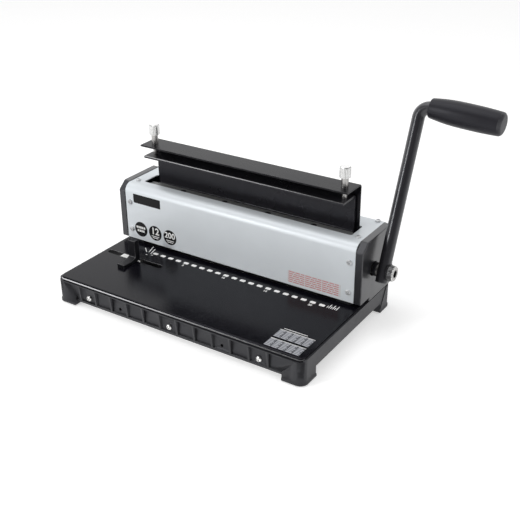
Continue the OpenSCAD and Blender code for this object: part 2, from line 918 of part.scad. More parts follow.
module ram_bar() color("#54585b") {
    difference() {
        union() {
            block([-ram_half, ram_front, ram_low], [ram_half, ram_back, ram_top]);
            both_sides()
                block([ram_half - 1, ram_front, ear_low], [ear_half, ram_back, ram_top]);
            block([-ram_half, ram_back - 1, bridge_low], [ram_half, lower_web_rear, ram_top]);
        }
        both_sides() {
            translate([post_x, punch_y, ear_low - 1])
                cylinder(d = post_d + 2 * run_gap, h = ram_top - ear_low + 2);
            block([rack_x - rack_w / 2 - bolt_gap, rack_back, ram_low - 1],
                [rack_x + rack_w / 2 + bolt_gap, ram_back + 1, bridge_low]);
        }
        at_lower_jaw_screws()
            cylinder(d = jaw_screw_d + 2 * bolt_gap, h = 4 * (ram_top - bridge_low), center = true);
    }
}

module punch_retainer() color("#64686b") {
    difference() {
        block([-ram_half, ram_front, retainer_low], [ram_half, ram_back, ram_low]);
        at_holes() {
            square_post(hole_size + 2 * bolt_gap, retainer_low - 1, ram_low + 1);
            square_post(head_size + 2 * bolt_gap, ram_low - head_t - bolt_gap, ram_low + 1);
        }
    }
}

module punch_pins() color("#c3c6c9")
    at_holes() {
        square_post(hole_size, pin_tip, ram_low);
        square_post(head_size, ram_low - head_t, ram_low);
    }

// Rack with a gap in its teeth at the shaft's height, so that a pinion tooth lies in it
rack_half_tooth = tooth_pitch / 4 - backlash / 4;
rack_tip_half = rack_half_tooth - gear_module * tan(pressure_angle);
rack_root_half = rack_half_tooth + 1.25 * gear_module * tan(pressure_angle);
rack_first = ceil((ram_low + rack_root_half - shaft_z) / tooth_pitch - 0.5);
rack_last = floor((bridge_low - rack_root_half - shaft_z) / tooth_pitch - 0.5);

module rack() {
    bar_along_x(rack_x - rack_w / 2, rack_x + rack_w / 2) {
        translate([rack_back, ram_low])
            square([rack_root - rack_back, bridge_low - ram_low]);
        for (k = [rack_first : rack_last])
            translate([0, shaft_z + (k + 0.5) * tooth_pitch])
                polygon([[rack_root - 0.5, -rack_root_half], [rack_root, -rack_root_half],
                    [rack_y + gear_module, -rack_tip_half], [rack_y + gear_module, rack_tip_half],
                    [rack_root, rack_root_half], [rack_root - 0.5, rack_root_half]]);
    }
}

module right_rack() color("#85898c")
    rack();

module left_rack() color("#85898c")
    mirror([1, 0, 0])
        rack();

// Drive

function involute(angle) = tan(angle) * 180 / PI - angle;
pinion_half_tooth = 90 / pinion_teeth - backlash / 4 / pitch_r * 180 / PI;
function flank(r) = pinion_half_tooth + involute(pressure_angle) - involute(acos(min(1, pinion_base_r / r)));
flank_r = concat([pinion_root_r], [for (k = [0 : 4]) pinion_base_r + (pinion_out_r - pinion_base_r) * k / 4]);
function on_circle(r, angle) = [r * cos(angle), r * sin(angle)];
function tooth(mid) = concat(
    [for (r = flank_r) on_circle(r, mid - flank(max(r, pinion_base_r)))],
    [for (k = [5 : -1 : 0]) on_circle(flank_r[k], mid + flank(max(flank_r[k], pinion_base_r)))]);

// Pinion in Y and Z with a tooth to the front
module pinion() {
    bar_along_x(rack_x - pinion_w / 2, rack_x + pinion_w / 2)
        translate([shaft_y, shaft_z])
            difference() {
                polygon([for (i = [0 : pinion_teeth - 1]) each tooth(180 + i * 360 / pinion_teeth)]);
                circle(d = shaft_d + 2 * bolt_gap);
            }
}

module right_pinion() color("#a7a295")
    pinion();

module left_pinion() color("#a7a295")
    mirror([1, 0, 0])
        pinion();

// Round bar along X on the shaft's axis
module on_shaft(x0, x1, d) {
    translate([x0, shaft_y, shaft_z])
        rotate([0, 90, 0])
            cylinder(d = d, h = x1 - x0);
}

module drive_shaft() color("#303234")
    difference() {
        on_shaft(-shaft_left, shaft_end, shaft_d);
        on_shaft(shaft_end - 24, shaft_end + 1, lever_bolt_d + 2 * bolt_gap);
    }

module bush() {
    difference() {
        union() {
            on_shaft(frame_in - bush_flange_t, body_half, bush_d);
            on_shaft(frame_in - bush_flange_t, frame_in, bush_flange_d);
        }
        on_shaft(frame_in - bush_flange_t - 1, body_half + 1, shaft_d + 2 * run_gap);
    }
}

module right_bush() color("#b08d4c")
    bush();

module left_bush() color("#b08d4c")
    mirror([1, 0, 0])
        bush();

module shaft_collars() color("#4b4e51")
    both_sides()
        difference() {
            on_shaft(collar_out - collar_w, collar_out, collar_d);
            on_shaft(collar_out - collar_w - 1, collar_out + 1, shaft_d + 2 * bolt_gap);
        }

// Lever

module leaning() {
    translate([lever_x, shaft_y, shaft_z])
        rotate([-lever_lean, 0, 0])
            children();
}

module lever_arm() color("#141517")
    difference() {
        leaning() {
            translate([0, 0, -lever_tail])
                cylinder(d = lever_d, h = bend_z + lever_tail);
            translate([bend_r, 0, bend_z])
                rotate([90, 0, 0])
                    rotate([0, 0, 180 - bend_angle - bend_lap])
                        rotate_extrude(angle = bend_angle + 2 * bend_lap)
                            translate([bend_r, 0])
                                circle(r = lever_d / 2 + bend_swell);
            translate(bend_end)
                rotate([0, bend_angle, 0])
                    cylinder(d = lever_d, h = grip_len - grip_wall_end);
        }
        on_shaft(lever_x - lever_d, lever_x + lever_d, lever_bolt_d + 2 * bolt_gap);
        on_shaft(lever_x - lever_d, shaft_end, shaft_d + 2 * slide_gap);
        on_shaft(washer_at, lever_x + lever_d, washer_d + 2 * slide_gap);
    }

module lever_spacer() color("#1a1b1c")
    difference() {
        on_shaft(cap_out + slide_gap, lever_x - lever_d / 2 - 0.1, shaft_d + 3);
        on_shaft(cap_out, lever_x, shaft_d + 2 * bolt_gap);
    }

module lever_washer() color("#c9ccce")
    difference() {
        on_shaft(washer_at, washer_at + washer_t, washer_d);
        on_shaft(washer_at - 1, washer_at + washer_t + 1, lever_bolt_d + 2 * bolt_gap);
    }

module lever_bolt() color("#c9ccce") {
    chamfer = 0.8;
    head_at = washer_at + washer_t;
    on_shaft(shaft_end - 22, head_at, lever_bolt_d);
    translate([head_at, shaft_y, shaft_z])
        rotate([0, 90, 0])
            difference() {
                union() {
                    cylinder(d = bolt_head_d, h = bolt_head - chamfer);
                    translate([0, 0, bolt_head - chamfer])
                        cylinder(d1 = bolt_head_d, d2 = bolt_head_d - 2 * chamfer, h = chamfer);
                }
                translate([0, 0, bolt_head - bolt_key_depth])
                    cylinder(d = bolt_key / cos(30), h = bolt_key_depth + 1, $fn = 6);
            }
}

// Grip, drawn as half its section and turned about the bar's end
module lever_grip() color("#232426")
    leaning()
        translate(bend_end)
            rotate([0, bend_angle, 0])
                rotate_extrude()
                    difference() {
                        union() {
                            polygon([[0, 0], [grip_d / 2, 0], [grip_mid_d / 2, grip_rise],
                                [grip_mid_d / 2, grip_len - grip_fall],
                                [grip_end_d / 2, grip_len - grip_edge_r], [0, grip_len - grip_edge_r]]);
                            square([grip_end_d / 2 - grip_edge_r, grip_len]);
                            intersection() {
                                translate([grip_end_d / 2 - grip_edge_r, grip_len - grip_edge_r])
                                    circle(r = grip_edge_r);
                                square([grip_end_d, grip_len]);
                            }
                        }
                        square([lever_d / 2 + bolt_gap, grip_len - grip_wall_end + bolt_gap]);
                    }

// Jaws

module at_upper_jaw_screws() {
    for (x = jaw_screw_x)
        translate([x, upper_web_front, upper_screw_z])
            rotate([90, 0, 0])
                children();
}

module at_lower_jaw_screws() {
    for (x = jaw_screw_x)
        translate([x, (sole_front + lower_web_front) / 2, ram_top + lower_t])
            children();
}

module upper_jaw() color("#1b1c1e")
    difference() {
        bar_along_x(jaw_shift - jaw_half, jaw_shift + jaw_half) {
            translate([jaw_front, upper_top - upper_t])
                square([upper_web_rear - jaw_fold_r - jaw_front, upper_t]);
            translate([upper_web_rear - jaw_fold_r, upper_top - jaw_fold_r])
                fold(jaw_fold_r, upper_t);
            translate([upper_web_front, beam_low + beam_t])
                square([upper_t, upper_top - jaw_fold_r - beam_low - beam_t]);
        }
        for (x = [-thumb_x, thumb_x])
            translate([jaw_shift + x, thumb_y, upper_top - upper_t - 1])
                cylinder(d = thumb_d + 2 * run_gap, h = upper_t + 2);
        at_upper_jaw_screws()
            cylinder(d = jaw_screw_d + 2 * bolt_gap, h = 4 * upper_t, center = true);
    }

module upper_jaw_screws() color("silver")
    at_upper_jaw_screws()
        screw(jaw_screw_d, upper_t + 1.5 * beam_t, 1.8 * jaw_screw_d);

module lower_jaw() color("#1b1c1e")
    difference() {
        union() {
            bar_along_x(jaw_shift - lower_half, jaw_shift + lower_half)
                lower_jaw_section();
            // The sole reaches past the jaw, close to the ends of the cover's opening
            block([-sole_half, sole_front, ram_top],
                [sole_half, lower_web_rear - jaw_fold_r, ram_top + lower_t]);
        }
        at_lower_jaw_screws()
            flush_screw(bolt_gap, 1);
    }

module lower_jaw_section() {
    translate([jaw_front, lower_top - lower_t])
        square([lower_web_rear - jaw_fold_r - jaw_front, lower_t]);
    translate([lower_web_rear - jaw_fold_r, lower_top - jaw_fold_r])
        fold(jaw_fold_r, lower_t);
    translate([lower_web_front, ram_top + jaw_fold_r])
        square([lower_t, lower_top - ram_top - 2 * jaw_fold_r]);
    translate([lower_web_rear - jaw_fold_r, ram_top + jaw_fold_r])
        mirror([0, 1])
            fold(jaw_fold_r, lower_t);
    translate([sole_front, ram_top])
        square([lower_web_rear - jaw_fold_r - sole_front, lower_t]);
}

// Screw whose sunk head ends level with the jaw's foot, grown by gap and lengthened by extra
module flush_screw(gap, extra) {
    head_r = jaw_screw_d * 0.85;
    sink = lower_t - 0.8;
    shank = lower_t + ram_top - bridge_low - 0.5 + extra;
    translate([0, 0, -shank])
        cylinder(r = jaw_screw_d / 2 + gap, h = shank);
    translate([0, 0, -sink - gap])
        cylinder(r1 = jaw_screw_d / 2 + gap, r2 = head_r + gap, h = sink + gap);
    if (extra > 0)
        cylinder(r = head_r + gap, h = extra);
}

module lower_jaw_screws() color("#2e3032")
    at_lower_jaw_screws()
        flush_screw(0, 0);

// Thumb screw at x: shank, neck and knurled head with a chamfered top
module thumb_screw(x) {
    chamfer = 1.2;
    knurls = 24;
    head_low = upper_top + neck_h;
    translate([x, thumb_y, 0]) {
        translate([0, 0, lower_top + slide_gap])
            cylinder(d = thumb_d, h = head_low - lower_top - slide_gap);
        translate([0, 0, upper_top + run_gap])
            cylinder(d = neck_d, h = neck_h - run_gap);
        difference() {
            translate([0, 0, head_low]) {
                cylinder(d = knurl_d, h = knurl_h - chamfer);
                translate([0, 0, knurl_h - chamfer])
                    cylinder(d1 = knurl_d, d2 = knurl_d - 2 * chamfer, h = chamfer);
            }
            for (k = [0 : knurls - 1])
                rotate([0, 0, k * 360 / knurls])
                    translate([knurl_d / 2, 0, head_low - 1])
                        rotate([0, 0, 45])
                            translate([-0.4, -0.4, 0])
                                cube([0.8, 0.8, knurl_h + 2]);
        }
    }
}

module right_thumb_screw() color("#d2d4d6")
    thumb_screw(jaw_shift + thumb_x);

module left_thumb_screw() color("#d2d4d6")
    thumb_screw(jaw_shift - thumb_x);

// Edge guide

// Toe in Y and Z: a thick tongue whose top is hollowed along an arc through both of its ends
module guide_toe() {
    rise = toe_h - toe_tip;
    chord = norm([toe_l, rise]);
    hollow_r = chord * chord / (8 * toe_sag) + toe_sag / 2;
    difference() {
        polygon([[guide_front - toe_l, guide_low], [guide_front, guide_low],
            [guide_front, guide_low + toe_h], [guide_front - toe_l, guide_low + toe_tip]]);
        translate([guide_front - toe_l / 2, guide_low + (toe_h + toe_tip) / 2]
                + (hollow_r - toe_sag) / chord * [-rise, toe_l])
            circle(r = hollow_r, $fn = 360);
    }
}

module edge_guide() color("#17181a")
    difference() {
        union() {
            block([guide_left, guide_front, guide_low],
                [guide_right, guide_front + guide_d, guide_low + guide_h]);
            bar_along_x(guide_left, guide_right)
                guide_toe();
            block([guide_left, slot_y - key_w / 2, clamp_top],
                [guide_right, slot_y + key_w / 2, guide_low]);
        }
        translate([(guide_left + guide_right) / 2, clamp_y, clamp_top - 1])
            cylinder(d = clamp_screw_d + 2 * bolt_gap, h = plate_t + 9);
    }

module guide_slider() color("#f1f1ee") {
    block([guide_left - slide_l, slot_y - key_w / 2, clamp_top],
        [guide_left, slot_y + key_w / 2, slide_top]);
    block([guide_right, slot_y - 3.2, clamp_top],
        [guide_right + slide_out, slot_y - 1.2, slide_top]);
}

module guide_clamp() color("#4a4d50")
    difference() {
        block([guide_left - 1, slot_y - slot_w, clamp_top - clamp_t],
            [guide_right + 1, slot_y + slot_w, clamp_top]);
        translate([(guide_left + guide_right) / 2, clamp_y, clamp_top - clamp_t - 1])
            cylinder(d = clamp_screw_d + 2 * bolt_gap, h = clamp_t + 2);
    }

module guide_clamp_screw() color("silver")
    translate([(guide_left + guide_right) / 2, clamp_y, clamp_top - clamp_t])
        mirror([0, 0, 1])
            screw(clamp_screw_d, clamp_t + plate_t + 1.5 * clamp_screw_d, 1.75 * clamp_screw_d);

base_moulding();
base_plate();
rubber_feet();
base_front_screws();
bottom_pan();
chip_tray();
cover();
cover_screws();
left_end_cap();
right_end_cap();
left_side_frame();
right_side_frame();
rear_beam();
frame_bolts();
die_plate();
punch_guide();
guide_block_screws();
back_stop();
left_guide_post();
right_guide_post();
left_return_spring();
right_return_spring();
ram_bar();
punch_retainer();
punch_pins();
left_rack();
right_rack();
lower_jaw();
lower_jaw_screws();
upper_jaw();
upper_jaw_screws();
left_thumb_screw();
right_thumb_screw();
drive_shaft();
left_bush();
right_bush();
shaft_collars();
left_pinion();
right_pinion();
lever_arm();
lever_spacer();
lever_washer();
lever_bolt();
lever_grip();
edge_guide();
guide_slider();
guide_clamp();
guide_clamp_screw();
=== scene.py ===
import json
import math

import bmesh
import bpy
from mathutils import Matrix, Vector


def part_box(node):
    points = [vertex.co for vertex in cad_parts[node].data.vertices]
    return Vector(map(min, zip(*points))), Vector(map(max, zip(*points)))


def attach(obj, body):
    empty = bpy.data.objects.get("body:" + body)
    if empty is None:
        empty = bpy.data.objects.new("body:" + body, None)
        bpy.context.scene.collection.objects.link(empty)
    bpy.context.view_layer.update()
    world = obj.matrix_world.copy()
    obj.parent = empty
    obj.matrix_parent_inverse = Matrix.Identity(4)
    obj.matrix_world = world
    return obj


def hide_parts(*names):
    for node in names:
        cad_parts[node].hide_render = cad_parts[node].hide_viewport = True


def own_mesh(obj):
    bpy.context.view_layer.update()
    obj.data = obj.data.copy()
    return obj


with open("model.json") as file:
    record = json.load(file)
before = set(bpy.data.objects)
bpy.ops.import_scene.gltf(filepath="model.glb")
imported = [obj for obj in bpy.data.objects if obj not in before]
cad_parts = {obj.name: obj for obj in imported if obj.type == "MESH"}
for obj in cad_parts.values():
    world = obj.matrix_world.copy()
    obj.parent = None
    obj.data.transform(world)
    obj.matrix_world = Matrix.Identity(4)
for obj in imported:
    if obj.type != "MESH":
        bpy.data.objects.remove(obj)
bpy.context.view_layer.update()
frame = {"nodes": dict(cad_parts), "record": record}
nodes = frame["nodes"]
slotOf = {part["node"]: part["material_slot"] for part in frame["record"]["subparts"]}
scene = bpy.context.scene
mm = 0.001
print("frame loaded:", len(nodes), "nodes")


# Camera

shot = {"target": (38.9, 25.93, 60.0), "azimuth": 32.976, "elevation": 27.422, "roll": -0.365,
        "distance": 1107.54, "lens": 61.08, "sensor": 36.0}


def placeCamera():
    azimuth, elevation, roll = (math.radians(shot[key]) for key in ("azimuth", "elevation", "roll"))
    back = Vector((math.sin(azimuth) * math.cos(elevation), -math.cos(azimuth) * math.cos(elevation),
                   math.sin(elevation)))
    right = Vector((math.cos(azimuth), math.sin(azimuth), 0))
    up = back.cross(right)
    axes = (right * math.cos(roll) + up * math.sin(roll), up * math.cos(roll) - right * math.sin(roll), back)
    eye = (Vector(shot["target"]) + back * shot["distance"]) * mm
    lens = bpy.data.cameras.new("benchCamera")
    lens.lens, lens.sensor_width = shot["lens"], shot["sensor"]
    lens.clip_start, lens.clip_end = 0.05, 60
    camera = bpy.data.objects.new("benchCamera", lens)
    scene.collection.objects.link(camera)
    camera.matrix_world = Matrix.Translation(eye) @ Matrix(axes).transposed().to_4x4()
    scene.camera = camera


placeCamera()
scene.view_settings.view_transform = "Standard"
print("camera placed")


# Shader tools

class Wire:
    def __init__(self, finish, socket):
        self.finish, self.socket = finish, socket

    def maths(self, operation, first, second):
        return self.finish.node("ShaderNodeMath", {"operation": operation}, {0: first, 1: second})

    def __add__(self, other):
        return self.maths("ADD", self, other)

    def __radd__(self, other):
        return self.maths("ADD", other, self)

    def __sub__(self, other):
        return self.maths("SUBTRACT", self, other)

    def __mul__(self, other):
        return self.maths("MULTIPLY", self, other)


class Finish:
    def __init__(self, tree):
        self.tree = tree

    # Settings go in first, since some of them change a node's sockets
    def node(self, kind, settings=None, sockets=None, out=0):
        made = self.tree.nodes.new(kind)
        for key, value in (settings or {}).items():
            setattr(made, key, value)
        for key, value in (sockets or {}).items():
            if isinstance(value, Wire):
                self.tree.links.new(value.socket, made.inputs[key])
            else:
                made.inputs[key].default_value = value
        return Wire(self, made.outputs[out]) if made.outputs else made

    def place(self):
        return self.node("ShaderNodeTexCoord", out="Object")

    def noise(self, scale, detail=2.0, stretch=None):
        where = self.place()
        if stretch:
            where = self.node("ShaderNodeVectorMath", {"operation": "MULTIPLY"}, {0: where, 1: stretch})
        return self.node("ShaderNodeTexNoise", sockets={"Vector": where, "Scale": scale, "Detail": detail})

    def mix(self, first, second, share):
        return self.node("ShaderNodeMix", {"data_type": "RGBA"}, {0: share, 6: first, 7: second}, out=2)

    def between(self, value, low, high, start=0.0, end=1.0):
        return self.node("ShaderNodeMapRange", {"interpolation_type": "SMOOTHSTEP"},
                         {"Value": value, "From Min": low, "From Max": high, "To Min": start, "To Max": end})

    def bump(self, height, strength, distance):
        return self.node("ShaderNodeBump",
                         sockets={"Height": height, "Strength": strength, "Distance": distance})


def newMaterial(name):
    material = bpy.data.materials.new(name)
    material.use_nodes = True
    return material, Finish(material.node_tree), material.node_tree.nodes["Principled BSDF"]


def feed(shader, sockets):
    for key, value in sockets.items():
        if isinstance(value, Wire):
            value.finish.tree.links.new(value.socket, shader.inputs[key])
        else:
            shader.inputs[key].default_value = value


def rgba(color, share=1.0):
    return tuple(share * part for part in color) + (1.0,)


# Paint, plastic and rubber: cloudy tone, fine grain, bevels paler (worn paint, and on the edge guide a
# painted highlight), a trace of dust on top
def coatedFinish(name, look):
    material, f, shader = newMaterial(name)
    cloud = f.between(f.noise(look["cloud"], 4.0), 0.3, 0.7)
    grain = f.noise(look["grain"], 2.0)
    tone = f.mix(rgba(look["color"], look["shade"]), rgba(look["color"]), cloud)
    edge = f.node("ShaderNodeAttribute", {"attribute_name": "bevelFaces"}, out="Fac")
    wornAndLitEdge = edge * f.between(f.noise(look["cloud"] * 4, 3.0), 0.35, 0.65) * look["edgeWearAndHighlight"]
    tone = f.mix(tone, rgba(look["wornAndLitEdge"]), wornAndLitEdge)
    facing = f.node("ShaderNodeSeparateXYZ",
                    sockets={0: f.node("ShaderNodeNewGeometry", out="Normal")}, out="Z")
    dust = f.between(facing, 0.7, 1.0) * f.between(f.noise(look["cloud"] * 9, 5.0), 0.5, 0.8) * look["dust"]
    tone = f.mix(tone, rgba(look["dustTone"]), dust)
    feed(shader, {"Base Color": tone,
                  "Roughness": look["rough"] + (cloud - 0.5) * look["roughSpread"] + dust * 0.6,
                  "Coat Weight": look["coat"], "Coat Roughness": look["coatRough"],
                  "Metallic": look["metal"], "Specular IOR Level": look["specular"],
                  "Specular Tint": rgba(look["tint"]),
                  "Normal": f.bump(grain, look["bump"], look["depth"])})
    return material


# Bare and plated metal: fine lines drawn along one axis, patches of duller skin
def metalFinish(name, look):
    material, f, shader = newMaterial(name)
    lines = f.noise(look["lines"], 3.0, look["stretch"])
    patch = f.between(f.noise(look["patch"], 4.0), 0.35, 0.7)
    tone = f.mix(rgba(look["color"], look["shade"]), rgba(look["color"]), lines * 0.6 + patch * 0.4)
    feed(shader, {"Base Color": tone, "Metallic": 1.0,
                  "Roughness": look["rough"] + (lines - 0.5) * look["roughSpread"] + patch * 0.06,
                  "Normal": f.bump(lines, look["bump"], look["depth"])})
    return material


# Screen print: slightly uneven film of ink
def inkFinish(name, look):
    material, f, shader = newMaterial(name)
    film = f.noise(look["grain"], 3.0)
    tone = f.mix(rgba(look["color"], look["shade"]), rgba(look["color"]), f.between(film, 0.3, 0.6))
    feed(shader, {"Base Color": tone, "Roughness": look["rough"] + (film - 0.5) * 0.2,
                  "Specular IOR Level": look["specular"], "Normal": f.bump(film, 0.1, 0.00002)})
    return material


# Painted highlight: a pale band that stands in for light from the front left, full at the left end of a piece
# and fading into the plain paint at its right end
def paintedHighlightFinish(name, look):
    material, f, shader = newMaterial(name)
    along = f.node("ShaderNodeSeparateXYZ", sockets={0: f.place()}, out="X")
    outsideHighlight = f.between(along, *look["reach"])
    patchy = f.between(f.noise(look["grain"], 3.0), 0.3, 0.6, 0.85, 1.0)
    feed(shader, {"Base Color": f.mix(rgba(look["highlightTone"]), rgba(look["paint"]), outsideHighlight * patchy),
                  "Roughness": look["rough"], "Normal": f.bump(patchy, 0.1, 0.00002)})
    return material


coatBase = {"shade": 0.86, "cloud": 22.0, "grain": 1500.0, "rough": 0.45, "roughSpread": 0.08, "bump": 0.12,
            "depth": 0.00008, "coat": 0.0, "coatRough": 0.1, "metal": 0.0, "specular": 0.5,
            "tint": (0.92, 0.93, 1.0), "wornAndLitEdge": (0.10, 0.10, 0.105), "edgeWearAndHighlight": 0.5, "dust": 0.03,
            "dustTone": (0.5, 0.49, 0.47)}
metalBase = {"color": (0.62, 0.61, 0.59), "shade": 0.8, "lines": 260.0, "stretch": (0.06, 1.0, 1.0),
             "patch": 60.0, "rough": 0.3, "roughSpread": 0.14, "bump": 0.08, "depth": 0.00003}
inkBase = {"shade": 0.9, "grain": 700.0, "rough": 0.55, "specular": 0.4}

blackSheet = coatedFinish("blackSheet", coatBase | {
    "color": (0.0045, 0.0043, 0.0068), "rough": 0.2, "roughSpread": 0.03, "specular": 0.14, "dust": 0.0,
    "wornAndLitEdge": (0.05, 0.05, 0.052)})
jawSheet = coatedFinish("jawSheet", coatBase | {
    "color": (0.006, 0.0058, 0.0075), "rough": 0.28, "roughSpread": 0.03, "specular": 0.14, "dust": 0.0,
    "wornAndLitEdge": (0.10, 0.10, 0.105)})
# A lighter copy of the jaws' black: painted light on the lower jaw's shaded web
lowerJawLitSheet = coatedFinish("lowerJawLitSheet", coatBase | {
    "color": (0.018, 0.0175, 0.021), "rough": 0.28, "roughSpread": 0.03, "specular": 0.2, "dust": 0.0,
    "wornAndLitEdge": (0.10, 0.10, 0.105)})
# Pale grey for the sole's top faces: painted light falling on them
soleLitTop = coatedFinish("soleLitTop", coatBase | {
    "color": (0.20, 0.203, 0.20), "rough": 0.4, "specular": 0.4, "dust": 0.0, "wornAndLitEdge": (0.16, 0.16, 0.16)})
blackMoulding = coatedFinish("blackMoulding", coatBase | {
    "color": (0.022, 0.022, 0.0245), "rough": 0.42, "grain": 2400.0, "wornAndLitEdge": (0.06, 0.06, 0.063),
    "specular": 0.42, "dust": 0.0})
padRubber = coatedFinish("padRubber", coatBase | {"color": (0.012, 0.012, 0.012), "rough": 0.75, "dust": 0.0})
silverPaint = coatedFinish("silverPaint", coatBase | {
    "color": (0.75, 0.79, 0.82), "shade": 0.97, "rough": 0.38, "roughSpread": 0.05, "metal": 0.1, "coat": 0.1,
    "coatRough": 0.25, "grain": 4200.0, "bump": 0.05, "wornAndLitEdge": (0.85, 0.86, 0.87), "edgeWearAndHighlight": 0.35, "dust": 0.0,
    "specular": 0.45})
blackCaps = coatedFinish("blackCaps", coatBase | {
    "color": (0.016, 0.016, 0.0185), "rough": 0.34, "grain": 2000.0, "wornAndLitEdge": (0.08, 0.08, 0.08),
    "specular": 0.5, "coat": 0.3, "coatRough": 0.25, "dust": 0.0})
blackGloss = coatedFinish("blackGloss", coatBase | {
    "color": (0.013, 0.0125, 0.0155), "rough": 0.32, "roughSpread": 0.04, "coat": 0.5, "coatRough": 0.2,
    "grain": 500.0, "bump": 0.03, "dust": 0.0, "specular": 0.5})
gripRubber = coatedFinish("gripRubber", coatBase | {
    "color": (0.017, 0.0163, 0.0205), "rough": 0.4, "grain": 2600.0, "bump": 0.12, "dust": 0.0,
    "specular": 0.24})
blackPlastic = coatedFinish("blackPlastic", coatBase | {
    "color": (0.005, 0.005, 0.0065), "rough": 0.45, "specular": 0.16, "dust": 0.0})
# The guide's bevels take a strong pale edge tone, a painted highlight along its edges
guidePlastic = coatedFinish("guidePlastic", coatBase | {
    "color": (0.006, 0.006, 0.0075), "rough": 0.42, "specular": 0.2, "dust": 0.0, "wornAndLitEdge": (0.16, 0.16, 0.165),
    "edgeWearAndHighlight": 0.9})
whitePlastic = coatedFinish("whitePlastic", coatBase | {
    "color": (0.92, 0.915, 0.90), "shade": 0.97, "rough": 0.4, "wornAndLitEdge": (0.85, 0.84, 0.82), "edgeWearAndHighlight": 0.3,
    "dust": 0.0})
trayPlastic = coatedFinish("trayPlastic", coatBase | {"color": (0.02, 0.02, 0.022), "rough": 0.48})
brightSteel = metalFinish("brightSteel", metalBase | {"color": (0.80, 0.80, 0.79), "rough": 0.24})
thumbSteel = metalFinish("thumbSteel", metalBase | {"color": (0.80, 0.80, 0.795), "rough": 0.2})
boltSteel = metalFinish("boltSteel", metalBase | {"color": (0.16, 0.16, 0.163), "rough": 0.34})
frameSteel = metalFinish("frameSteel", metalBase | {"color": (0.50, 0.50, 0.49), "rough": 0.42})
toolSteel = metalFinish("toolSteel", metalBase | {"color": (0.48, 0.47, 0.46), "rough": 0.3})
# Near black: the lever washer's own dark finish, and painted shade on the pieces that stand in the ends of
# the throat
darkSteelAndThroatShade = coatedFinish("darkSteelAndThroatShade", coatBase | {
    "color": (0.014, 0.014, 0.0155), "rough": 0.42, "specular": 0.2, "dust": 0.0,
    "wornAndLitEdge": (0.05, 0.05, 0.052)})
springSteel = metalFinish("springSteel", metalBase | {"color": (0.45, 0.44, 0.43), "rough": 0.28})
bronze = metalFinish("bronze", metalBase | {"color": (0.55, 0.36, 0.17), "rough": 0.36})
whiteInk = inkFinish("whiteInk", inkBase | {"color": (0.93, 0.93, 0.92), "shade": 0.95})
greyInk = inkFinish("greyInk", inkBase | {"color": (0.13, 0.135, 0.15)})
paleInk = inkFinish("paleInk", inkBase | {"color": (0.52, 0.53, 0.57)})
blackInk = inkFinish("blackInk", inkBase | {"color": (0.008, 0.008, 0.009), "rough": 0.45, "specular": 0.15})
paleLabel = inkFinish("paleLabel", inkBase | {"color": (0.69, 0.69, 0.70), "shade": 0.97, "rough": 0.35})
redInk = inkFinish("redInk", inkBase | {"color": (0.60, 0.20, 0.20), "shade": 0.9, "rough": 0.4})
# Painted highlights: on the base plate's front fold, on the slot's rear edge and on the lower jaw's lip
foldHighlight = paintedHighlightFinish("foldHighlight", {
    "highlightTone": (0.66, 0.66, 0.68), "paint": (0.05, 0.05, 0.054), "reach": (-0.16, 0.10), "grain": 90.0,
    "rough": 0.3})
lipHighlight = paintedHighlightFinish("lipHighlight", {
    "highlightTone": (0.42, 0.42, 0.43), "paint": (0.05, 0.05, 0.052), "reach": (-0.04, 0.14), "grain": 90.0,
    "rough": 0.3})
screwSteel = coatedFinish("screwSteel", coatBase | {
    "color": (0.66, 0.67, 0.68), "metal": 0.5, "rough": 0.34, "grain": 900.0, "wornAndLitEdge": (0.88, 0.88, 0.88),
    "edgeWearAndHighlight": 0.7, "dust": 0.0})

slotFinish = {"black_sheet": blackSheet, "black_moulding": blackMoulding, "pad_rubber": padRubber,
              "bright_steel": brightSteel, "silver_paint": silverPaint, "black_caps": blackCaps,
              "frame_steel": frameSteel, "tool_steel": toolSteel, "dark_steel": darkSteelAndThroatShade,
              "spring_steel": springSteel, "bronze": bronze, "black_gloss": blackGloss,
              "grip_rubber": gripRubber, "black_plastic": blackPlastic, "white_plastic": whitePlastic,
              "tray_plastic": trayPlastic}
for name, node in nodes.items():
    node.data.materials.clear()
    node.data.materials.append(slotFinish[slotOf[name]])
# The punch guide is painted near black, as painted shade in the ends of the throat
nodes["punch_guide"].data.materials[0] = darkSteelAndThroatShade
print("finishes made:", len(bpy.data.materials))


# Modelling tools, in millimetres until a piece is placed

weld = 1e-4
smoothAngle = 40.0
sharpCorner = 50.0


def begin():
    bm = bmesh.new()
    bm.faces.layers.float.new("bevelFaces")
    return bm


def boxOf(node):
    low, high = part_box(node)
    return low / mm, high / mm


def soften(bm, width, segments=2, angle=30.0, pick=None):
    limit = math.radians(angle)
    edges = [e for e in bm.edges
             if len(e.link_faces) == 2 and e.calc_face_angle() > limit and (pick is None or pick(e))]
    made = bmesh.ops.bevel(bm, geom=edges, offset=width, offset_type="OFFSET", affect="EDGES",
                           segments=segments, profile=0.5, material=-1, clamp_overlap=True)
    layer = bm.faces.layers.float["bevelFaces"]
    for face in made["faces"]:
        face[layer] = 1.0


def vertsOf(made):
    return [g for g in made if isinstance(g, bmesh.types.BMVert)]


def facesOf(made):
    return [g for g in made if isinstance(g, bmesh.types.BMFace)]


def block(bm, low, high):
    size = Vector(high) - Vector(low)
    middle = (Vector(high) + Vector(low)) / 2
    stretch = Matrix.Translation(middle) @ Matrix.Diagonal(size.to_4d())
    return bmesh.ops.create_cube(bm, size=1.0, matrix=stretch)


# Draws a face out along step; a face of a closed body leaves no wall behind inside it
def extend(bm, face, step):
    closed = all(len(e.link_faces) > 1 for e in face.edges)
    made = bmesh.ops.extrude_face_region(bm, geom=[face])["geom"]
    bmesh.ops.translate(bm, vec=step, verts=vertsOf(made))
    if closed:
        bmesh.ops.delete(bm, geom=[face], context="FACES_ONLY")
    return facesOf(made)[0]


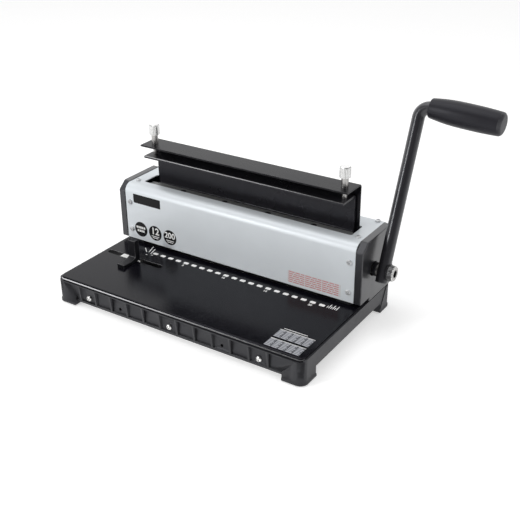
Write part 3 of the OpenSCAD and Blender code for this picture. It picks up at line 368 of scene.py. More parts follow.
def lathe(bm, outline, steps=48):
    verts = [bm.verts.new((r, 0, z)) for r, z in outline]
    edges = [bm.edges.new(pair) for pair in zip(verts, verts[1:])]
    bmesh.ops.spin(bm, geom=verts + edges, cent=(0, 0, 0), axis=(0, 0, 1), dvec=(0, 0, 0),
                   angle=2 * math.pi, steps=steps, use_merge=True, use_duplicate=False)
    bmesh.ops.remove_doubles(bm, verts=bm.verts, dist=weld)


# A sheet without thickness, bent along a path in y and z
def foldedSheet(bm, path, left, right, radius):
    verts = [bm.verts.new((left, y, z)) for y, z in path]
    edges = [bm.edges.new(pair) for pair in zip(verts, verts[1:])]
    made = bmesh.ops.extrude_edge_only(bm, edges=edges)["geom"]
    bmesh.ops.translate(bm, vec=(right - left, 0, 0), verts=vertsOf(made))
    folds = [e for e in bm.edges if len(e.link_faces) == 2]
    bmesh.ops.bevel(bm, geom=folds, offset=radius, offset_type="OFFSET", affect="EDGES", segments=10,
                    profile=0.5, material=-1)
    bmesh.ops.recalc_face_normals(bm, faces=bm.faces)
    if max(bm.faces, key=lambda f: f.calc_center_median().z).normal.z < 0:
        bmesh.ops.reverse_faces(bm, faces=bm.faces)


def softCopy(node, width, segments=2, angle=30.0):
    bm = bmesh.new()
    bm.from_mesh(nodes[node].data)
    bm.faces.layers.float.new("bevelFaces")
    bmesh.ops.scale(bm, vec=(1 / mm,) * 3, verts=bm.verts)
    bmesh.ops.remove_doubles(bm, verts=bm.verts, dist=10 * weld)
    bmesh.ops.dissolve_limit(bm, angle_limit=math.radians(0.5), use_dissolve_boundaries=False,
                             verts=bm.verts, edges=bm.edges, delimit=set())
    if width:
        soften(bm, width, segments, angle)
    return bm


def place(bm, name, body, finishes, replaced=(), slot=None):
    bmesh.ops.remove_doubles(bm, verts=bm.verts, dist=weld)
    bmesh.ops.recalc_face_normals(bm, faces=bm.faces)
    bmesh.ops.scale(bm, vec=(mm,) * 3, verts=bm.verts)
    loose = sum(1 for e in bm.edges if not e.is_manifold)
    for face in bm.faces:
        face.smooth = True
    mesh = bpy.data.meshes.new(name)
    bm.to_mesh(mesh)
    bm.free()
    mesh.set_sharp_from_angle(angle=math.radians(smoothAngle))
    for finish in finishes if isinstance(finishes, list) else [finishes]:
        mesh.materials.append(finish)
    piece = bpy.data.objects.new(name, mesh)
    scene.collection.objects.link(piece)
    weight = piece.modifiers.new("evenShading", "WEIGHTED_NORMAL")
    weight.keep_sharp = True
    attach(piece, body)
    if replaced:
        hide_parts(*replaced)
    slot = slot or (slotOf[replaced[0]] if replaced else None)
    print("piece", name, len(mesh.polygons), "faces", loose, "loose edges")
    return piece


# Floor, light and background

studio = {"floorTone": 0.80, "floorGlow": 0.48, "ambient": 0.50, "backdrop": 1.0, "behind": 1.35,
          "room": 0.18, "backdropSide": (-0.45, 0.89, 0.0), "turn": (-0.4, 0.5), "floorReach": 6.0,
          "lamps": {"overhead": ((-0.4, -0.3, 1.9), (0, 0, 0.08), (1.3, 1.3), 10.5),
                    "frontStrip": ((-0.95, -1.62, 0.72), (0.1, 0.05, 0.14), (0.16, 0.9), 13.0),
                    "rightFill": ((1.8, 0.1, 0.9), (0, 0, 0.1), (0.9, 0.9), 6.2)}}
rayKinds = ("Is Camera Ray", "Is Glossy Ray", "Is Transmission Ray")


def buildStudio():
    bm = bmesh.new()
    bmesh.ops.create_grid(bm, x_segments=1, y_segments=1, size=studio["floorReach"])
    mesh = bpy.data.meshes.new("floor")
    bm.to_mesh(mesh)
    bm.free()
    material, f, shader = newMaterial("paleFloor")
    tone, glow = studio["floorTone"], studio["floorGlow"]
    seen, glossy, through = (f.node("ShaderNodeLightPath", out=name) for name in rayKinds)
    feed(shader, {"Base Color": f.mix(rgba((tone,) * 3), rgba((tone * 1.01,) * 3), f.noise(6.0)),
                  "Emission Color": f.mix(rgba((0, 0, 0)), rgba((glow,) * 3), seen + glossy + through),
                  "Emission Strength": 1.0, "Roughness": 0.9, "Specular IOR Level": 0.1})
    mesh.materials.append(material)
    floor = bpy.data.objects.new("floor", mesh)
    scene.collection.objects.link(floor)
    world = bpy.data.worlds.new("studioWorld")
    scene.world = world
    world.use_nodes = True
    f = Finish(world.node_tree)
    for spare in list(world.node_tree.nodes):
        world.node_tree.nodes.remove(spare)
    seen, glossy, through = (f.node("ShaderNodeLightPath", out=name) for name in rayKinds)
    side = f.node("ShaderNodeVectorMath", {"operation": "DOT_PRODUCT"},
                  {0: f.node("ShaderNodeTexCoord", out="Generated"), 1: studio["backdropSide"]}, out="Value")
    mirrored = f.between(side, *studio["turn"], studio["room"], studio["behind"])
    ambient = studio["ambient"]
    strength = ambient + (seen + through) * (studio["backdrop"] - ambient) + glossy * (mirrored - ambient)
    sky = f.node("ShaderNodeBackground", sockets={"Color": (1, 1, 1, 1), "Strength": strength})
    f.node("ShaderNodeOutputWorld", sockets={"Surface": sky})
    for name, (spot, aim, size, power) in studio["lamps"].items():
        lamp = bpy.data.lights.new(name, "AREA")
        lamp.shape, lamp.size, lamp.size_y, lamp.energy = "RECTANGLE", *size, power
        holder = bpy.data.objects.new(name, lamp)
        scene.collection.objects.link(holder)
        facing = (Vector(aim) - Vector(spot)).to_track_quat("-Z", "Y")
        holder.matrix_world = Matrix.Translation(spot) @ facing.to_matrix().to_4x4()


buildStudio()
print("studio lit")


# Base plate

basePlate = {"foldRadius": 2.8, "foldSteps": 6, "line": (32.7, 33.9), "cornerRadius": 6.5, "cornerCuts": 6,
             "rearCuts": 8, "thickness": 2.0, "edge": 0.4,
             "slot": (-174.0, -84.0, -19.5, 8.2), "throat": (-149.0, 149.0, 24.4, 41.6)}


def slotLoop(bm, left, right, middle, width, z):
    made = bmesh.ops.create_circle(bm, cap_ends=False, radius=width / 2, segments=24)["verts"]
    bmesh.ops.rotate(bm, cent=(0, 0, 0), matrix=Matrix.Rotation(math.pi / 24, 3, "Z"), verts=made)
    reach = (right - left - width) / 2
    for vert in made:
        vert.co.x += reach if vert.co.x > 0 else -reach
    bmesh.ops.translate(bm, vec=((left + right) / 2, middle, z), verts=made)
    return list({e for v in made for e in v.link_edges})


def frameLoop(bm, left, right, front, rear, z):
    spots = ((left, front), (right, front), (right, rear), (left, rear))
    corners = [bm.verts.new((x, y, z)) for x, y in spots]
    return [bm.edges.new(pair) for pair in zip(corners, corners[1:] + corners[:1])]


# The fold and its lip bend back round the front corners, seen from above
def roundFrontCorners(bm, axis, bend):
    radius, cuts = basePlate["cornerRadius"], basePlate["cornerCuts"]
    for cut in range(cuts):
        for side in (-1, 1):
            lip = [f for f in bm.faces if all(v.co.y < bend + 0.01 for v in f.verts)]
            geom = lip + list({e for f in lip for e in f.edges}) + list({v for f in lip for v in f.verts})
            cutAt = side * (axis + radius * math.sin(math.pi / 2 * cut / cuts))
            bmesh.ops.bisect_plane(bm, geom=geom, plane_co=(cutAt, 0, 0), plane_no=(1, 0, 0))
    for vert in bm.verts:
        past = abs(vert.co.x) - axis
        if vert.co.y < bend + 0.01 and past > 0:
            vert.co.y += radius - math.sqrt(max(0, radius ** 2 - past ** 2))


def buildBasePlate():
    bm = begin()
    low, high = boxOf("base_plate")
    top, under = high.z, high.z - basePlate["thickness"]
    bend = low.y + basePlate["foldRadius"]
    block(bm, (low.x, bend, under), (high.x, high.y, top))
    corners = [e for e in bm.edges if all(v.co.y > 0 for v in e.verts)
               and abs(e.verts[0].co.z - e.verts[1].co.z) > 1]
    bmesh.ops.bevel(bm, geom=corners, offset=basePlate["cornerRadius"], offset_type="OFFSET", affect="EDGES",
                    segments=basePlate["rearCuts"], profile=0.5, material=-1)
    lead = min(bm.faces, key=lambda f: f.calc_center_median().y)
    made = bmesh.ops.spin(bm, geom=[lead] + list(lead.edges) + list(lead.verts),
                          cent=(0, bend, top - basePlate["foldRadius"]), axis=(1, 0, 0), dvec=(0, 0, 0),
                          angle=math.pi / 2, steps=basePlate["foldSteps"], use_duplicate=False)
    last = facesOf(made["geom_last"])[0]
    extend(bm, last, (0, 0, low.z - (top - basePlate["foldRadius"])))
    flats = [f for f in bm.faces if abs(f.normal.z) > 0.99 and f.calc_area() > 5000]
    bmesh.ops.delete(bm, geom=flats, context="FACES_ONLY")
    roundFrontCorners(bm, high.x - basePlate["cornerRadius"], bend)
    rims = []
    for z in (top, under):
        outer = [e for e in bm.edges if len(e.link_faces) == 1
                 and all(abs(v.co.z - z) < 0.01 for v in e.verts)]
        holes = [slotLoop(bm, *basePlate["slot"], z), frameLoop(bm, *basePlate["throat"], z)]
        bmesh.ops.triangle_fill(bm, use_beauty=True, use_dissolve=False, normal=(0, 0, 1),
                                edges=outer + holes[0] + holes[1])
        rims.append(holes)
    for upper, lower in zip(*rims):
        bmesh.ops.bridge_loops(bm, edges=upper + lower)
    bmesh.ops.recalc_face_normals(bm, faces=bm.faces)
    soften(bm, basePlate["edge"], 2, sharpCorner)
    layer = bm.faces.layers.float["bevelFaces"]
    left, right, row, width = basePlate["slot"]
    lineLow, lineHigh = basePlate["line"]
    for face in bm.faces:
        middle = face.calc_center_median()
        inSlot = left - 1 < middle.x < right + 1 and abs(middle.y - row) < width / 2 + 1
        # The faces along the fold's lower end take a painted highlight
        if face.normal.y < -0.3 and lineLow < middle.z < lineHigh and middle.y < bend + 7:
            face.material_index = 1
        elif inSlot and abs(face.normal.z) < 0.1:
            face.material_index = 2
        # The bevels of the slot's rear edge take a painted highlight
        elif inSlot and face[layer] and face.normal.y < -0.2 and face.normal.z > 0:
            face.material_index = 3
    return place(bm, "basePlate", "base", [blackSheet, foldHighlight, blackInk, lipHighlight], ["base_plate"])


buildBasePlate()


# Base moulding, feet and front screws

baseMoulding = {"edge": 0.6, "pads": 0.9, "screws": 0.25, "half": 182.0, "gusset": 0.8, "gussetEdge": 0.35,
                "gussetOutline": ((79.5, 6.5), (98.5, 6.5), (98.5, 33.3), (94.5, 33.3))}


# Raised gussets on the sides of the rear feet, wide at the foot and narrow under the plate
def buildGussets():
    bm = begin()
    for side in (-1, 1):
        x = side * (baseMoulding["half"] - 0.2)
        face = bm.faces.new([bm.verts.new((x, y, z)) for y, z in baseMoulding["gussetOutline"]])
        extend(bm, face, (side * (baseMoulding["gusset"] + 0.2), 0, 0))
    bmesh.ops.recalc_face_normals(bm, faces=bm.faces)
    soften(bm, baseMoulding["gussetEdge"])
    place(bm, "footGussets", "base", blackMoulding, slot="black_moulding")


buildGussets()
place(softCopy("base_moulding", baseMoulding["edge"]), "baseMoulding", "base", blackMoulding,
      ["base_moulding"])
place(softCopy("rubber_feet", baseMoulding["pads"]), "rubberFeet", "base", padRubber, ["rubber_feet"])
place(softCopy("base_front_screws", baseMoulding["screws"]), "baseFrontScrews", "base", brightSteel,
      ["base_front_screws"])
print("base built")


# Cover and end caps

cover = {"foldRadius": 11.0, "thickness": 1.5, "openHalf": 156.5, "openFront": 42.5, "openRear": 71.5,
         "openCorner": 2.5, "edge": 0.3, "screwEdge": 0.25, "capEdge": 1.2}


def buildCover():
    bm = begin()
    low, high = boxOf("cover")
    path = [(low.y, low.z), (low.y, high.z), (high.y, high.z), (high.y, low.z)]
    foldedSheet(bm, path, low.x, high.x, cover["foldRadius"])
    half, front, rear = cover["openHalf"], cover["openFront"], cover["openRear"]
    for point, normal in (((half, 0, 0), (1, 0, 0)), ((-half, 0, 0), (1, 0, 0)),
                          ((0, front, 0), (0, 1, 0)), ((0, rear, 0), (0, 1, 0))):
        geom = bm.verts[:] + bm.edges[:] + bm.faces[:]
        bmesh.ops.bisect_plane(bm, geom=geom, plane_co=point, plane_no=normal)
    mouth = [f for f in bm.faces if f.normal.z > 0.99 and abs(f.calc_center_median().x) < half
             and front < f.calc_center_median().y < rear]
    bmesh.ops.delete(bm, geom=mouth, context="FACES")
    bmesh.ops.solidify(bm, geom=bm.faces[:], thickness=cover["thickness"])
    bmesh.ops.recalc_face_normals(bm, faces=bm.faces)
    upright = [e for e in bm.edges if len(e.link_faces) == 2 and e.calc_face_angle() > 1
               and abs(e.verts[0].co.z - e.verts[1].co.z) > 1 and all(
                   abs(abs(v.co.x) - half) < 0.1 and front - 1 < v.co.y < rear + 1 for v in e.verts)]
    bmesh.ops.bevel(bm, geom=upright, offset=cover["openCorner"], offset_type="OFFSET", affect="EDGES",
                    segments=5, profile=0.5, material=-1)
    soften(bm, cover["edge"], 2, sharpCorner)
    return place(bm, "cover", "base", silverPaint, ["cover"])


buildCover()
place(softCopy("cover_screws", cover["screwEdge"]), "coverScrews", "base", screwSteel, ["cover_screws"])
for side in ("left", "right"):
    place(softCopy(side + "_end_cap", cover["capEdge"], 3), side + "EndCap", "base", blackCaps,
          [side + "_end_cap"])
print("body built")


# Jaws, thumb screws and return springs

jaws = {"foldRadius": 5.0, "upperSheet": 2.1, "lowerJawLitSheet": 3.0, "soleFront": 44.0, "edge": 0.35,
        "lowerInset": 5.0, "lip": 0.8}


def buildJaws():
    bm = begin()
    low, high = boxOf("upper_jaw")
    left, right = low.x + jaws["lowerInset"], high.x - jaws["lowerInset"]
    foldedSheet(bm, [(low.y, high.z), (high.y, high.z), (high.y, low.z)], low.x, high.x, jaws["foldRadius"])
    bmesh.ops.solidify(bm, geom=bm.faces[:], thickness=jaws["upperSheet"])
    bmesh.ops.recalc_face_normals(bm, faces=bm.faces)
    soften(bm, jaws["edge"], 2, sharpCorner)
    place(bm, "upperJaw", "base", jawSheet, ["upper_jaw"])
    bm = begin()
    low, high = boxOf("lower_jaw")
    path = [(low.y, high.z), (high.y, high.z), (high.y, low.z), (jaws["soleFront"], low.z)]
    foldedSheet(bm, path, left, right, jaws["foldRadius"])
    bmesh.ops.solidify(bm, geom=bm.faces[:], thickness=jaws["lowerJawLitSheet"])
    bmesh.ops.recalc_face_normals(bm, faces=bm.faces)
    rear, soleTop = high.y - jaws["foldRadius"], low.z + jaws["lowerJawLitSheet"]
    for face in [f for f in bm.faces if abs(f.normal.x) > 0.9 and f.calc_center_median().z < soleTop
                 and f.calc_center_median().y < rear]:
        end = high.x if face.normal.x > 0 else low.x
        extend(bm, face, (end - face.calc_center_median().x, 0, 0))
    soften(bm, jaws["lip"], 2, sharpCorner,
           lambda e: all(v.co.y < low.y + 0.1 and v.co.z > high.z - 0.1 for v in e.verts))
    soften(bm, jaws["edge"], 2, sharpCorner)
    # The front lip's bevel takes a painted highlight, and the sole's top faces a pale grey of painted light
    for face in bm.faces:
        middle = face.calc_center_median()
        if middle.y < low.y + jaws["lip"] and -0.95 < face.normal.y < -0.2 and face.normal.z > 0.2:
            face.material_index = 1
        elif middle.z < soleTop + 0.1 and face.normal.z > 0.5:
            face.material_index = 2
    place(bm, "lowerJaw", "ram", [lowerJawLitSheet, lipHighlight, soleLitTop], ["lower_jaw"])


thumbScrew = {"shank": 6.0, "neck": 8.6, "neckLength": 12.5, "knurl": 14.0, "ribs": 24, "ribDepth": 0.8,
              "chamfer": 1.2, "seat": 0.05, "steps": 40}


# Knurled cylinder about Z with a chamfered top, which it gives back as a face
def knurledHead(bm, size, ribs, ribDepth, bottom, top, chamfer):
    rim = bmesh.ops.create_circle(bm, cap_ends=True, radius=size / 2, segments=4 * ribs,
                                  matrix=Matrix.Translation((0, 0, bottom)))["verts"]
    for vert in rim[::4]:
        vert.co.xy *= 1 - 2 * ribDepth / size
    face = extend(bm, rim[0].link_faces[0], (0, 0, top - chamfer - bottom))
    face = extend(bm, face, (0, 0, chamfer))
    share = 1 - 2 * chamfer / size
    bmesh.ops.scale(bm, vec=(share, share, 1), verts=face.verts)
    return face


def buildThumbScrew(side):
    bm = begin()
    low, high = boxOf(side + "_thumb_screw")
    shank, neck = thumbScrew["shank"] / 2, thumbScrew["neck"] / 2
    neckLow = boxOf("upper_jaw")[1].z
    neckTop = neckLow + thumbScrew["neckLength"]
    neckEnd = neckTop - thumbScrew["seat"]
    lathe(bm, [(0, low.z), (shank, low.z), (shank, neckLow), (neck, neckLow), (neck, neckEnd), (0, neckEnd)],
          thumbScrew["steps"])
    knurledHead(bm, thumbScrew["knurl"], thumbScrew["ribs"], thumbScrew["ribDepth"], neckTop, high.z,
                thumbScrew["chamfer"])
    bmesh.ops.translate(bm, vec=((low.x + high.x) / 2, (low.y + high.y) / 2, 0), verts=bm.verts)
    for face in bm.faces:
        face.material_index = int(face.calc_center_median().z < neckTop - 0.01)
    place(bm, side + "ThumbScrew", side + "_stop", [thumbSteel, toolSteel], [side + "_thumb_screw"])


# The spring rides with the ram, on a mesh of its own
def buildReturnSpring(side):
    node = side + "_return_spring"
    piece = place(softCopy(node, 0.0), side + "ReturnSpring", "ram", springSteel, [node])
    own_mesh(piece)


buildJaws()
for side in ("left", "right"):
    buildThumbScrew(side)
    buildReturnSpring(side)
print("jaws built")


# Lever

lever = {"axis": (196.0, 52.5, 77.0), "lean": 22.0, "bar": 15.0, "tail": 14.0, "reach": 196.0, "bend": 12.5,
         "droop": 3.0, "flatHalf": 10.3, "flatDepth": 1.5, "inGrip": 82.0, "edge": 1.0, "grip": 87.0,
         "gripWidths": ((0.0, 23.0), (0.08, 25.0), (0.17, 27.0), (0.26, 28.4), (0.36, 29.3), (0.48, 29.6),
                        (0.6, 29.6), (0.72, 29.3), (0.83, 28.6), (0.92, 27.8)),
         "gripEnd": 27.0, "gripEdge": 4.0, "mouthEdge": 1.2, "gripBore": 0.95, "gripFit": 0.05,
         "bendSteps": 18, "spacerEdge": 0.5, "washerEdge": 0.3}


def leanBack(bm):
    bmesh.ops.rotate(bm, cent=(0, 0, 0), matrix=Matrix.Rotation(-math.radians(lever["lean"]), 3, "X"),
                     verts=bm.verts)
    bmesh.ops.translate(bm, vec=lever["axis"], verts=bm.verts)


def buildLeverArm():
    bm = begin()
    radius, flat = lever["bar"] / 2, lever["flatHalf"]
    made = bmesh.ops.create_circle(bm, cap_ends=True, radius=radius, segments=48,
                                   matrix=Matrix.Translation((0, 0, -lever["tail"])))["verts"]
    face = made[0].link_faces[0]
    height = -lever["tail"]
    for stop in (-flat - 0.02, -flat, flat, flat + 0.02, lever["reach"] - lever["bend"]):
        face = extend(bm, face, (0, 0, stop - height))
        height = stop
    for vert in bm.verts:
        if abs(vert.co.z) < flat + 0.01:
            vert.co.x = max(-radius + lever["flatDepth"] / 2, min(radius - lever["flatDepth"] / 2, vert.co.x))
    turn = math.radians(90 + lever["droop"])
    made = bmesh.ops.spin(bm, geom=[face] + list(face.edges) + list(face.verts),
                          cent=(lever["bend"], 0, height), axis=(0, 1, 0), dvec=(0, 0, 0), angle=turn,
                          steps=lever["bendSteps"], use_duplicate=False)
    last = facesOf(made["geom_last"])[0]
    droop = math.radians(lever["droop"])
    extend(bm, last, (lever["inGrip"] * math.cos(droop), 0, -lever["inGrip"] * math.sin(droop)))
    bmesh.ops.recalc_face_normals(bm, faces=bm.faces)
    soften(bm, lever["edge"], 3, sharpCorner, lambda e: all(v.co.z < -flat - 1 for v in e.verts))
    leanBack(bm)
    place(bm, "leverArm", "lever", blackGloss, ["lever_arm"])


def buildLeverGrip():
    bm = begin()
    length = lever["grip"]
    inner, bore = lever["bar"] / 2 + lever["gripFit"], length * lever["gripBore"]
    stations = [(0, bore), (inner, bore), (inner, 0)]
    stations += [(width / 2, length * share) for share, width in lever["gripWidths"]]
    stations += [(lever["gripEnd"] / 2, length), (0, length)]
    lathe(bm, stations, 56)
    bmesh.ops.recalc_face_normals(bm, faces=bm.faces)
    soften(bm, lever["gripEdge"], 6, sharpCorner, lambda e: all(v.co.z > length - 0.1 for v in e.verts))
    soften(bm, lever["mouthEdge"], 2, sharpCorner, lambda e: all(v.co.z < 0.1 for v in e.verts))
    turn = math.radians(90 + lever["droop"])
    bmesh.ops.rotate(bm, cent=(0, 0, 0), matrix=Matrix.Rotation(turn, 3, "Y"), verts=bm.verts)
    bmesh.ops.translate(bm, vec=(lever["bend"], 0, lever["reach"]), verts=bm.verts)
    leanBack(bm)
    place(bm, "leverGrip", "lever", gripRubber, ["lever_grip"])


leverBolt = {"shank": 8.0, "head": 19.0, "depth": 7.0, "ribs": 30, "ribDepth": 0.5, "chamfer": 0.8,
             "key": 9.0, "keyDepth": 4.0, "steps": 32}


# Hexagonal key socket, sunk into the flat end of a head about Z
def keySocket(bm, face, flats, depth):
    bmesh.ops.inset_individual(bm, faces=[face], thickness=0.5)
    for vert in face.verts:
        turn = math.atan2(vert.co.y, vert.co.x)
        reach = flats / 2 / math.cos((turn + math.pi / 6) % (math.pi / 3) - math.pi / 6)
        vert.co.xy = reach * math.cos(turn), reach * math.sin(turn)
    extend(bm, face, (0, 0, -depth))


def buildLeverBolt():
    bm = begin()
    low, high = boxOf("lever_bolt")
    radius, under = leverBolt["shank"] / 2, high.x - leverBolt["depth"]
    lathe(bm, [(0, low.x), (radius, low.x), (radius, under), (0, under)], leverBolt["steps"])
    end = knurledHead(bm, leverBolt["head"], leverBolt["ribs"], leverBolt["ribDepth"], under, high.x,
                      leverBolt["chamfer"])
    keySocket(bm, end, leverBolt["key"], leverBolt["keyDepth"])
    slope, rim = high.x - leverBolt["chamfer"], leverBolt["head"] / 2 - 1
    for face in bm.faces:
        middle = face.calc_center_median()
        if slope < middle.z < high.x - 0.01 and middle.xy.length > rim:
            face.material_index = 1
        elif middle.z > high.x - 0.01:
            face.material_index = 2
    bmesh.ops.rotate(bm, cent=(0, 0, 0), matrix=Matrix.Rotation(math.pi / 2, 3, "Y"), verts=bm.verts)
    bmesh.ops.translate(bm, vec=(0, lever["axis"][1], lever["axis"][2]), verts=bm.verts)
    place(bm, "leverBolt", "lever", [boltSteel, brightSteel, toolSteel], ["lever_bolt"])


buildLeverArm()
buildLeverGrip()
buildLeverBolt()
place(softCopy("lever_spacer", lever["spacerEdge"]), "leverSpacer", "lever", blackPlastic, ["lever_spacer"])
place(softCopy("lever_washer", lever["washerEdge"]), "leverWasher", "lever", darkSteelAndThroatShade, ["lever_washer"])
print("lever built")


# Edge guide and chip tray

edgeGuide = {"edge": 0.7, "slideEdge": 0.2, "trayEdge": 0.5}

place(softCopy("edge_guide", edgeGuide["edge"], 3), "edgeGuide", "guide", guidePlastic, ["edge_guide"])
place(softCopy("guide_slider", edgeGuide["slideEdge"]), "guideSlider", "guide", whitePlastic,
      ["guide_slider"])
place(softCopy("chip_tray", edgeGuide["trayEdge"]), "chipTray", "tray", trayPlastic, ["chip_tray"])
print("guide and tray built")


# Prints on the plate and the cover: plain marks, plain numbers and bare plates

prints = {"film": 0.06, "count": 21, "pitch": 12.7, "first": -114.3, "row": 6.3, "mark": (7.5, 5.0),
          "corner": 1.6, "numbers": (5, 10, 15, 20), "numberRow": -0.6, "numberSize": 5.2,
          "numberWeight": 0.024, "strokeWidth": 1.1,
          "strokes": (((-137.0, 12.6), (-129.0, 5.2)), ((-130.0, 20.8), (-125.4, 5.8)),
                      ((-123.3, 16.0), (-120.4, 3.8)), ((-124.2, -1.7), (-122.8, -1.7)),
                      ((-116.9, 0.6), (-115.3, 0.6))),
          "ruler": (147.0, 5.0, 2.5, 6), "rulerTops": (9.0, 13.2), "rulerStroke": 0.9}
sizeTable = {"sides": (126.0, 172.0), "head": (-62.9, -61.9), "headInset": (3.0, 12.0),
             "blocks": ((-82.5, -66.5), (-103.0, -87.0)), "cells": (5, 6), "gap": 0.35, "bar": 0.5,
             "barInset": 0.5, "line": 0.8, "lineLift": 0.2}
# Shares of a disc's size; the first disc has two rows of bars, the others a number over two lines
discs = {"across": (-150.1, -125.8, -101.0), "height": 56.6, "size": 21.5, "steps": 56,
         "numbers": (("12", 0.63), ("200", 0.54)), "numberRise": 0.11,
         "lines": ((0.2, 0.3), (0.31, 0.22)), "lineWidth": 0.05,
         "barRows": ((0.04, 0.36, 5), (-0.19, 0.29, 4)), "barHeight": 0.15, "barShare": 0.78}
plates = {"dark": (-160.0, -114.5, 94.3, 107.0), "darkCorner": 0.6,
          "label": (82.0, 156.0, 44.0, 60.5), "labelCorner": 1.0, "lines": 6, "inset": 1.5, "margin": 1.0,
          "bars": (5.0, 8.5, 6.5), "barCount": 9, "barGap": 1.2, "barShare": 0.2}


def filmPatch(bm, x0, x1, y0, y1, corner=0.0):
    made = bmesh.ops.create_grid(bm, x_segments=1, y_segments=1, size=0.5)["verts"]
    bmesh.ops.scale(bm, vec=(x1 - x0, y1 - y0, 1), verts=made)
    bmesh.ops.translate(bm, vec=((x0 + x1) / 2, (y0 + y1) / 2, 0), verts=made)
    face = made[0].link_faces[0]
    if corner:
        made = bmesh.ops.bevel(bm, geom=made, offset=corner, offset_type="OFFSET", affect="VERTICES",
                               segments=4, profile=0.5, material=-1)
        face = max((f for v in made["verts"] for f in v.link_faces), key=lambda f: f.calc_area())
    extend(bm, face, (0, 0, prints["film"]))


def strokeFilm(bm, start, end, width):
    run = Vector(end) - Vector(start)
    known = set(bm.verts)
    filmPatch(bm, -run.length / 2 - width / 2, run.length / 2 + width / 2, -width / 2, width / 2)
    made = [v for v in bm.verts if v not in known]
    bmesh.ops.rotate(bm, cent=(0, 0, 0), matrix=Matrix.Rotation(math.atan2(run.y, run.x), 3, "Z"), verts=made)
    bmesh.ops.translate(bm, vec=((Vector(start) + Vector(end)) / 2).to_3d(), verts=made)


def numberFilm(bm, text, size, x, y):
    words = bpy.data.curves.new("number", "FONT")
    words.body, words.size, words.extrude = text, size, prints["film"] / 2
    words.offset = size * prints["numberWeight"]
    words.align_x, words.align_y = "CENTER", "CENTER"
    words.resolution_u = 4
    holder = bpy.data.objects.new("number", words)
    scene.collection.objects.link(holder)
    bpy.context.view_layer.update()
    mesh = bpy.data.meshes.new_from_object(holder.evaluated_get(bpy.context.evaluated_depsgraph_get()))
    mesh.transform(Matrix.Translation((x, y, prints["film"] / 2)))
    bm.from_mesh(mesh)
    bpy.data.objects.remove(holder)
    bpy.data.curves.remove(words)
    bpy.data.meshes.remove(mesh)


def layOnPlate(bm, name, finish, lift=0.0):
    bmesh.ops.translate(bm, vec=(0, 0, boxOf("base_plate")[1].z + lift), verts=bm.verts)
    place(bm, name, "base", finish)


def hangOnCover(bm, name, finish, lift=0.0):
    bmesh.ops.rotate(bm, cent=(0, 0, 0), matrix=Matrix.Rotation(math.pi / 2, 3, "X"), verts=bm.verts)
    bmesh.ops.translate(bm, vec=(0, boxOf("cover")[0].y - lift, 0), verts=bm.verts)
    place(bm, name, "base", finish)


def buildPlatePrints():
    bm = begin()
    width, depth = prints["mark"]
    for index in range(prints["count"]):
        x = prints["first"] + prints["pitch"] * index
        filmPatch(bm, x - width / 2, x + width / 2, prints["row"] - depth / 2, prints["row"] + depth / 2,
                  prints["corner"])
        if index + 1 in prints["numbers"]:
            numberFilm(bm, str(index + 1), prints["numberSize"], x, prints["numberRow"])
    for start, end in prints["strokes"]:
        strokeFilm(bm, start, end, prints["strokeWidth"])
    x, y, pitch, count = prints["ruler"]
    for index in range(count):
        strokeFilm(bm, (x + pitch * index, y), (x + pitch * index, prints["rulerTops"][index % 2]),
                   prints["strokeWidth"] * prints["rulerStroke"])
    layOnPlate(bm, "holeMarks", whiteInk)


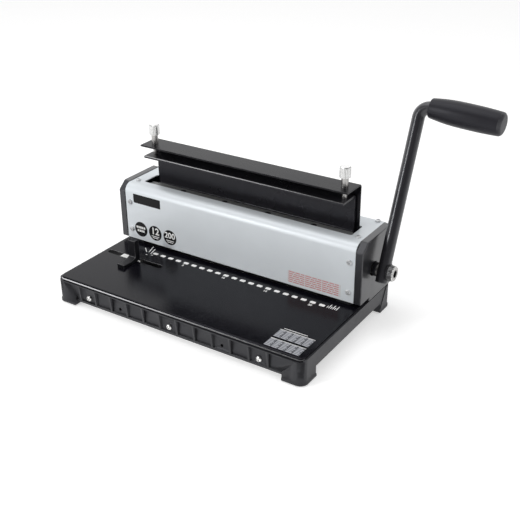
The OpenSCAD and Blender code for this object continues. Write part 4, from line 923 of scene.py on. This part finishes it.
def buildSizeTable():
    bm, bars, lines = begin(), begin(), begin()
    left, right = sizeTable["sides"]
    columns, rows = sizeTable["cells"]
    gap, inset = sizeTable["gap"], sizeTable["barInset"]
    width = (right - left) / columns
    for low, high in sizeTable["blocks"]:
        pitch = (high - low) / rows
        half = pitch * sizeTable["bar"] / 2
        for column in range(columns):
            x0, x1 = left + width * column, left + width * (column + 1) - gap
            filmPatch(bm, x0, x1, low, high)
            for row in range(rows):
                y = low + pitch * (row + 0.5)
                short = (column + 2 * row) % 3
                filmPatch(bars, x0 + inset, x1 - inset - short, y - half, y + half)
        start = high + sizeTable["lineLift"]
        filmPatch(lines, left, right - gap, start, start + sizeTable["line"])
    fromLeft, fromRight = sizeTable["headInset"]
    filmPatch(lines, left + fromLeft, right - fromRight, *sizeTable["head"])
    layOnPlate(bm, "sizeTable", greyInk)
    layOnPlate(bars, "tableBars", paleInk, prints["film"])
    layOnPlate(lines, "tableLines", whiteInk)


def buildDiscs():
    bm, white = begin(), begin()
    size, height = discs["size"], discs["height"]
    for index, x in enumerate(discs["across"]):
        made = bmesh.ops.create_circle(bm, cap_ends=True, radius=size / 2, segments=discs["steps"],
                                       matrix=Matrix.Translation((x, height, 0)))["verts"]
        extend(bm, made[0].link_faces[0], (0, 0, prints["film"]))
        if index:
            number, share = discs["numbers"][index - 1]
            numberFilm(white, number, size * share, x, height + size * discs["numberRise"])
            for drop, reach in discs["lines"]:
                filmPatch(white, x - size * reach, x + size * reach,
                          height - size * (drop + discs["lineWidth"]), height - size * drop)
        else:
            for rise, reach, bars in discs["barRows"]:
                step = 2 * size * reach / bars
                for bar in range(bars):
                    left = x - size * reach + step * bar
                    filmPatch(white, left, left + step * discs["barShare"], height + size * rise,
                              height + size * (rise + discs["barHeight"]))
    filmPatch(bm, *plates["dark"], plates["darkCorner"])
    hangOnCover(bm, "frontDiscs", blackInk)
    hangOnCover(white, "discMarks", whiteInk, prints["film"])


def buildLabel():
    bm, red = begin(), begin()
    x0, x1, z0, z1 = plates["label"]
    filmPatch(bm, x0, x1, z0, z1, plates["labelCorner"])
    pitch = (z1 - z0) / plates["lines"]
    half = pitch * plates["barShare"]
    for line in range(plates["lines"]):
        z = z0 + pitch * (line + 0.5)
        x = x0 + plates["inset"]
        for bar in range(plates["barCount"]):
            end = x + plates["bars"][(bar + 2 * line) % len(plates["bars"])]
            if end < x1 - plates["margin"]:
                filmPatch(red, x, end, z - half, z + half)
            x = end + plates["barGap"]
    hangOnCover(bm, "bareLabel", paleLabel)
    hangOnCover(red, "labelBars", redInk, prints["film"])


buildPlatePrints()
buildSizeTable()
buildDiscs()
buildLabel()
print("prints laid")
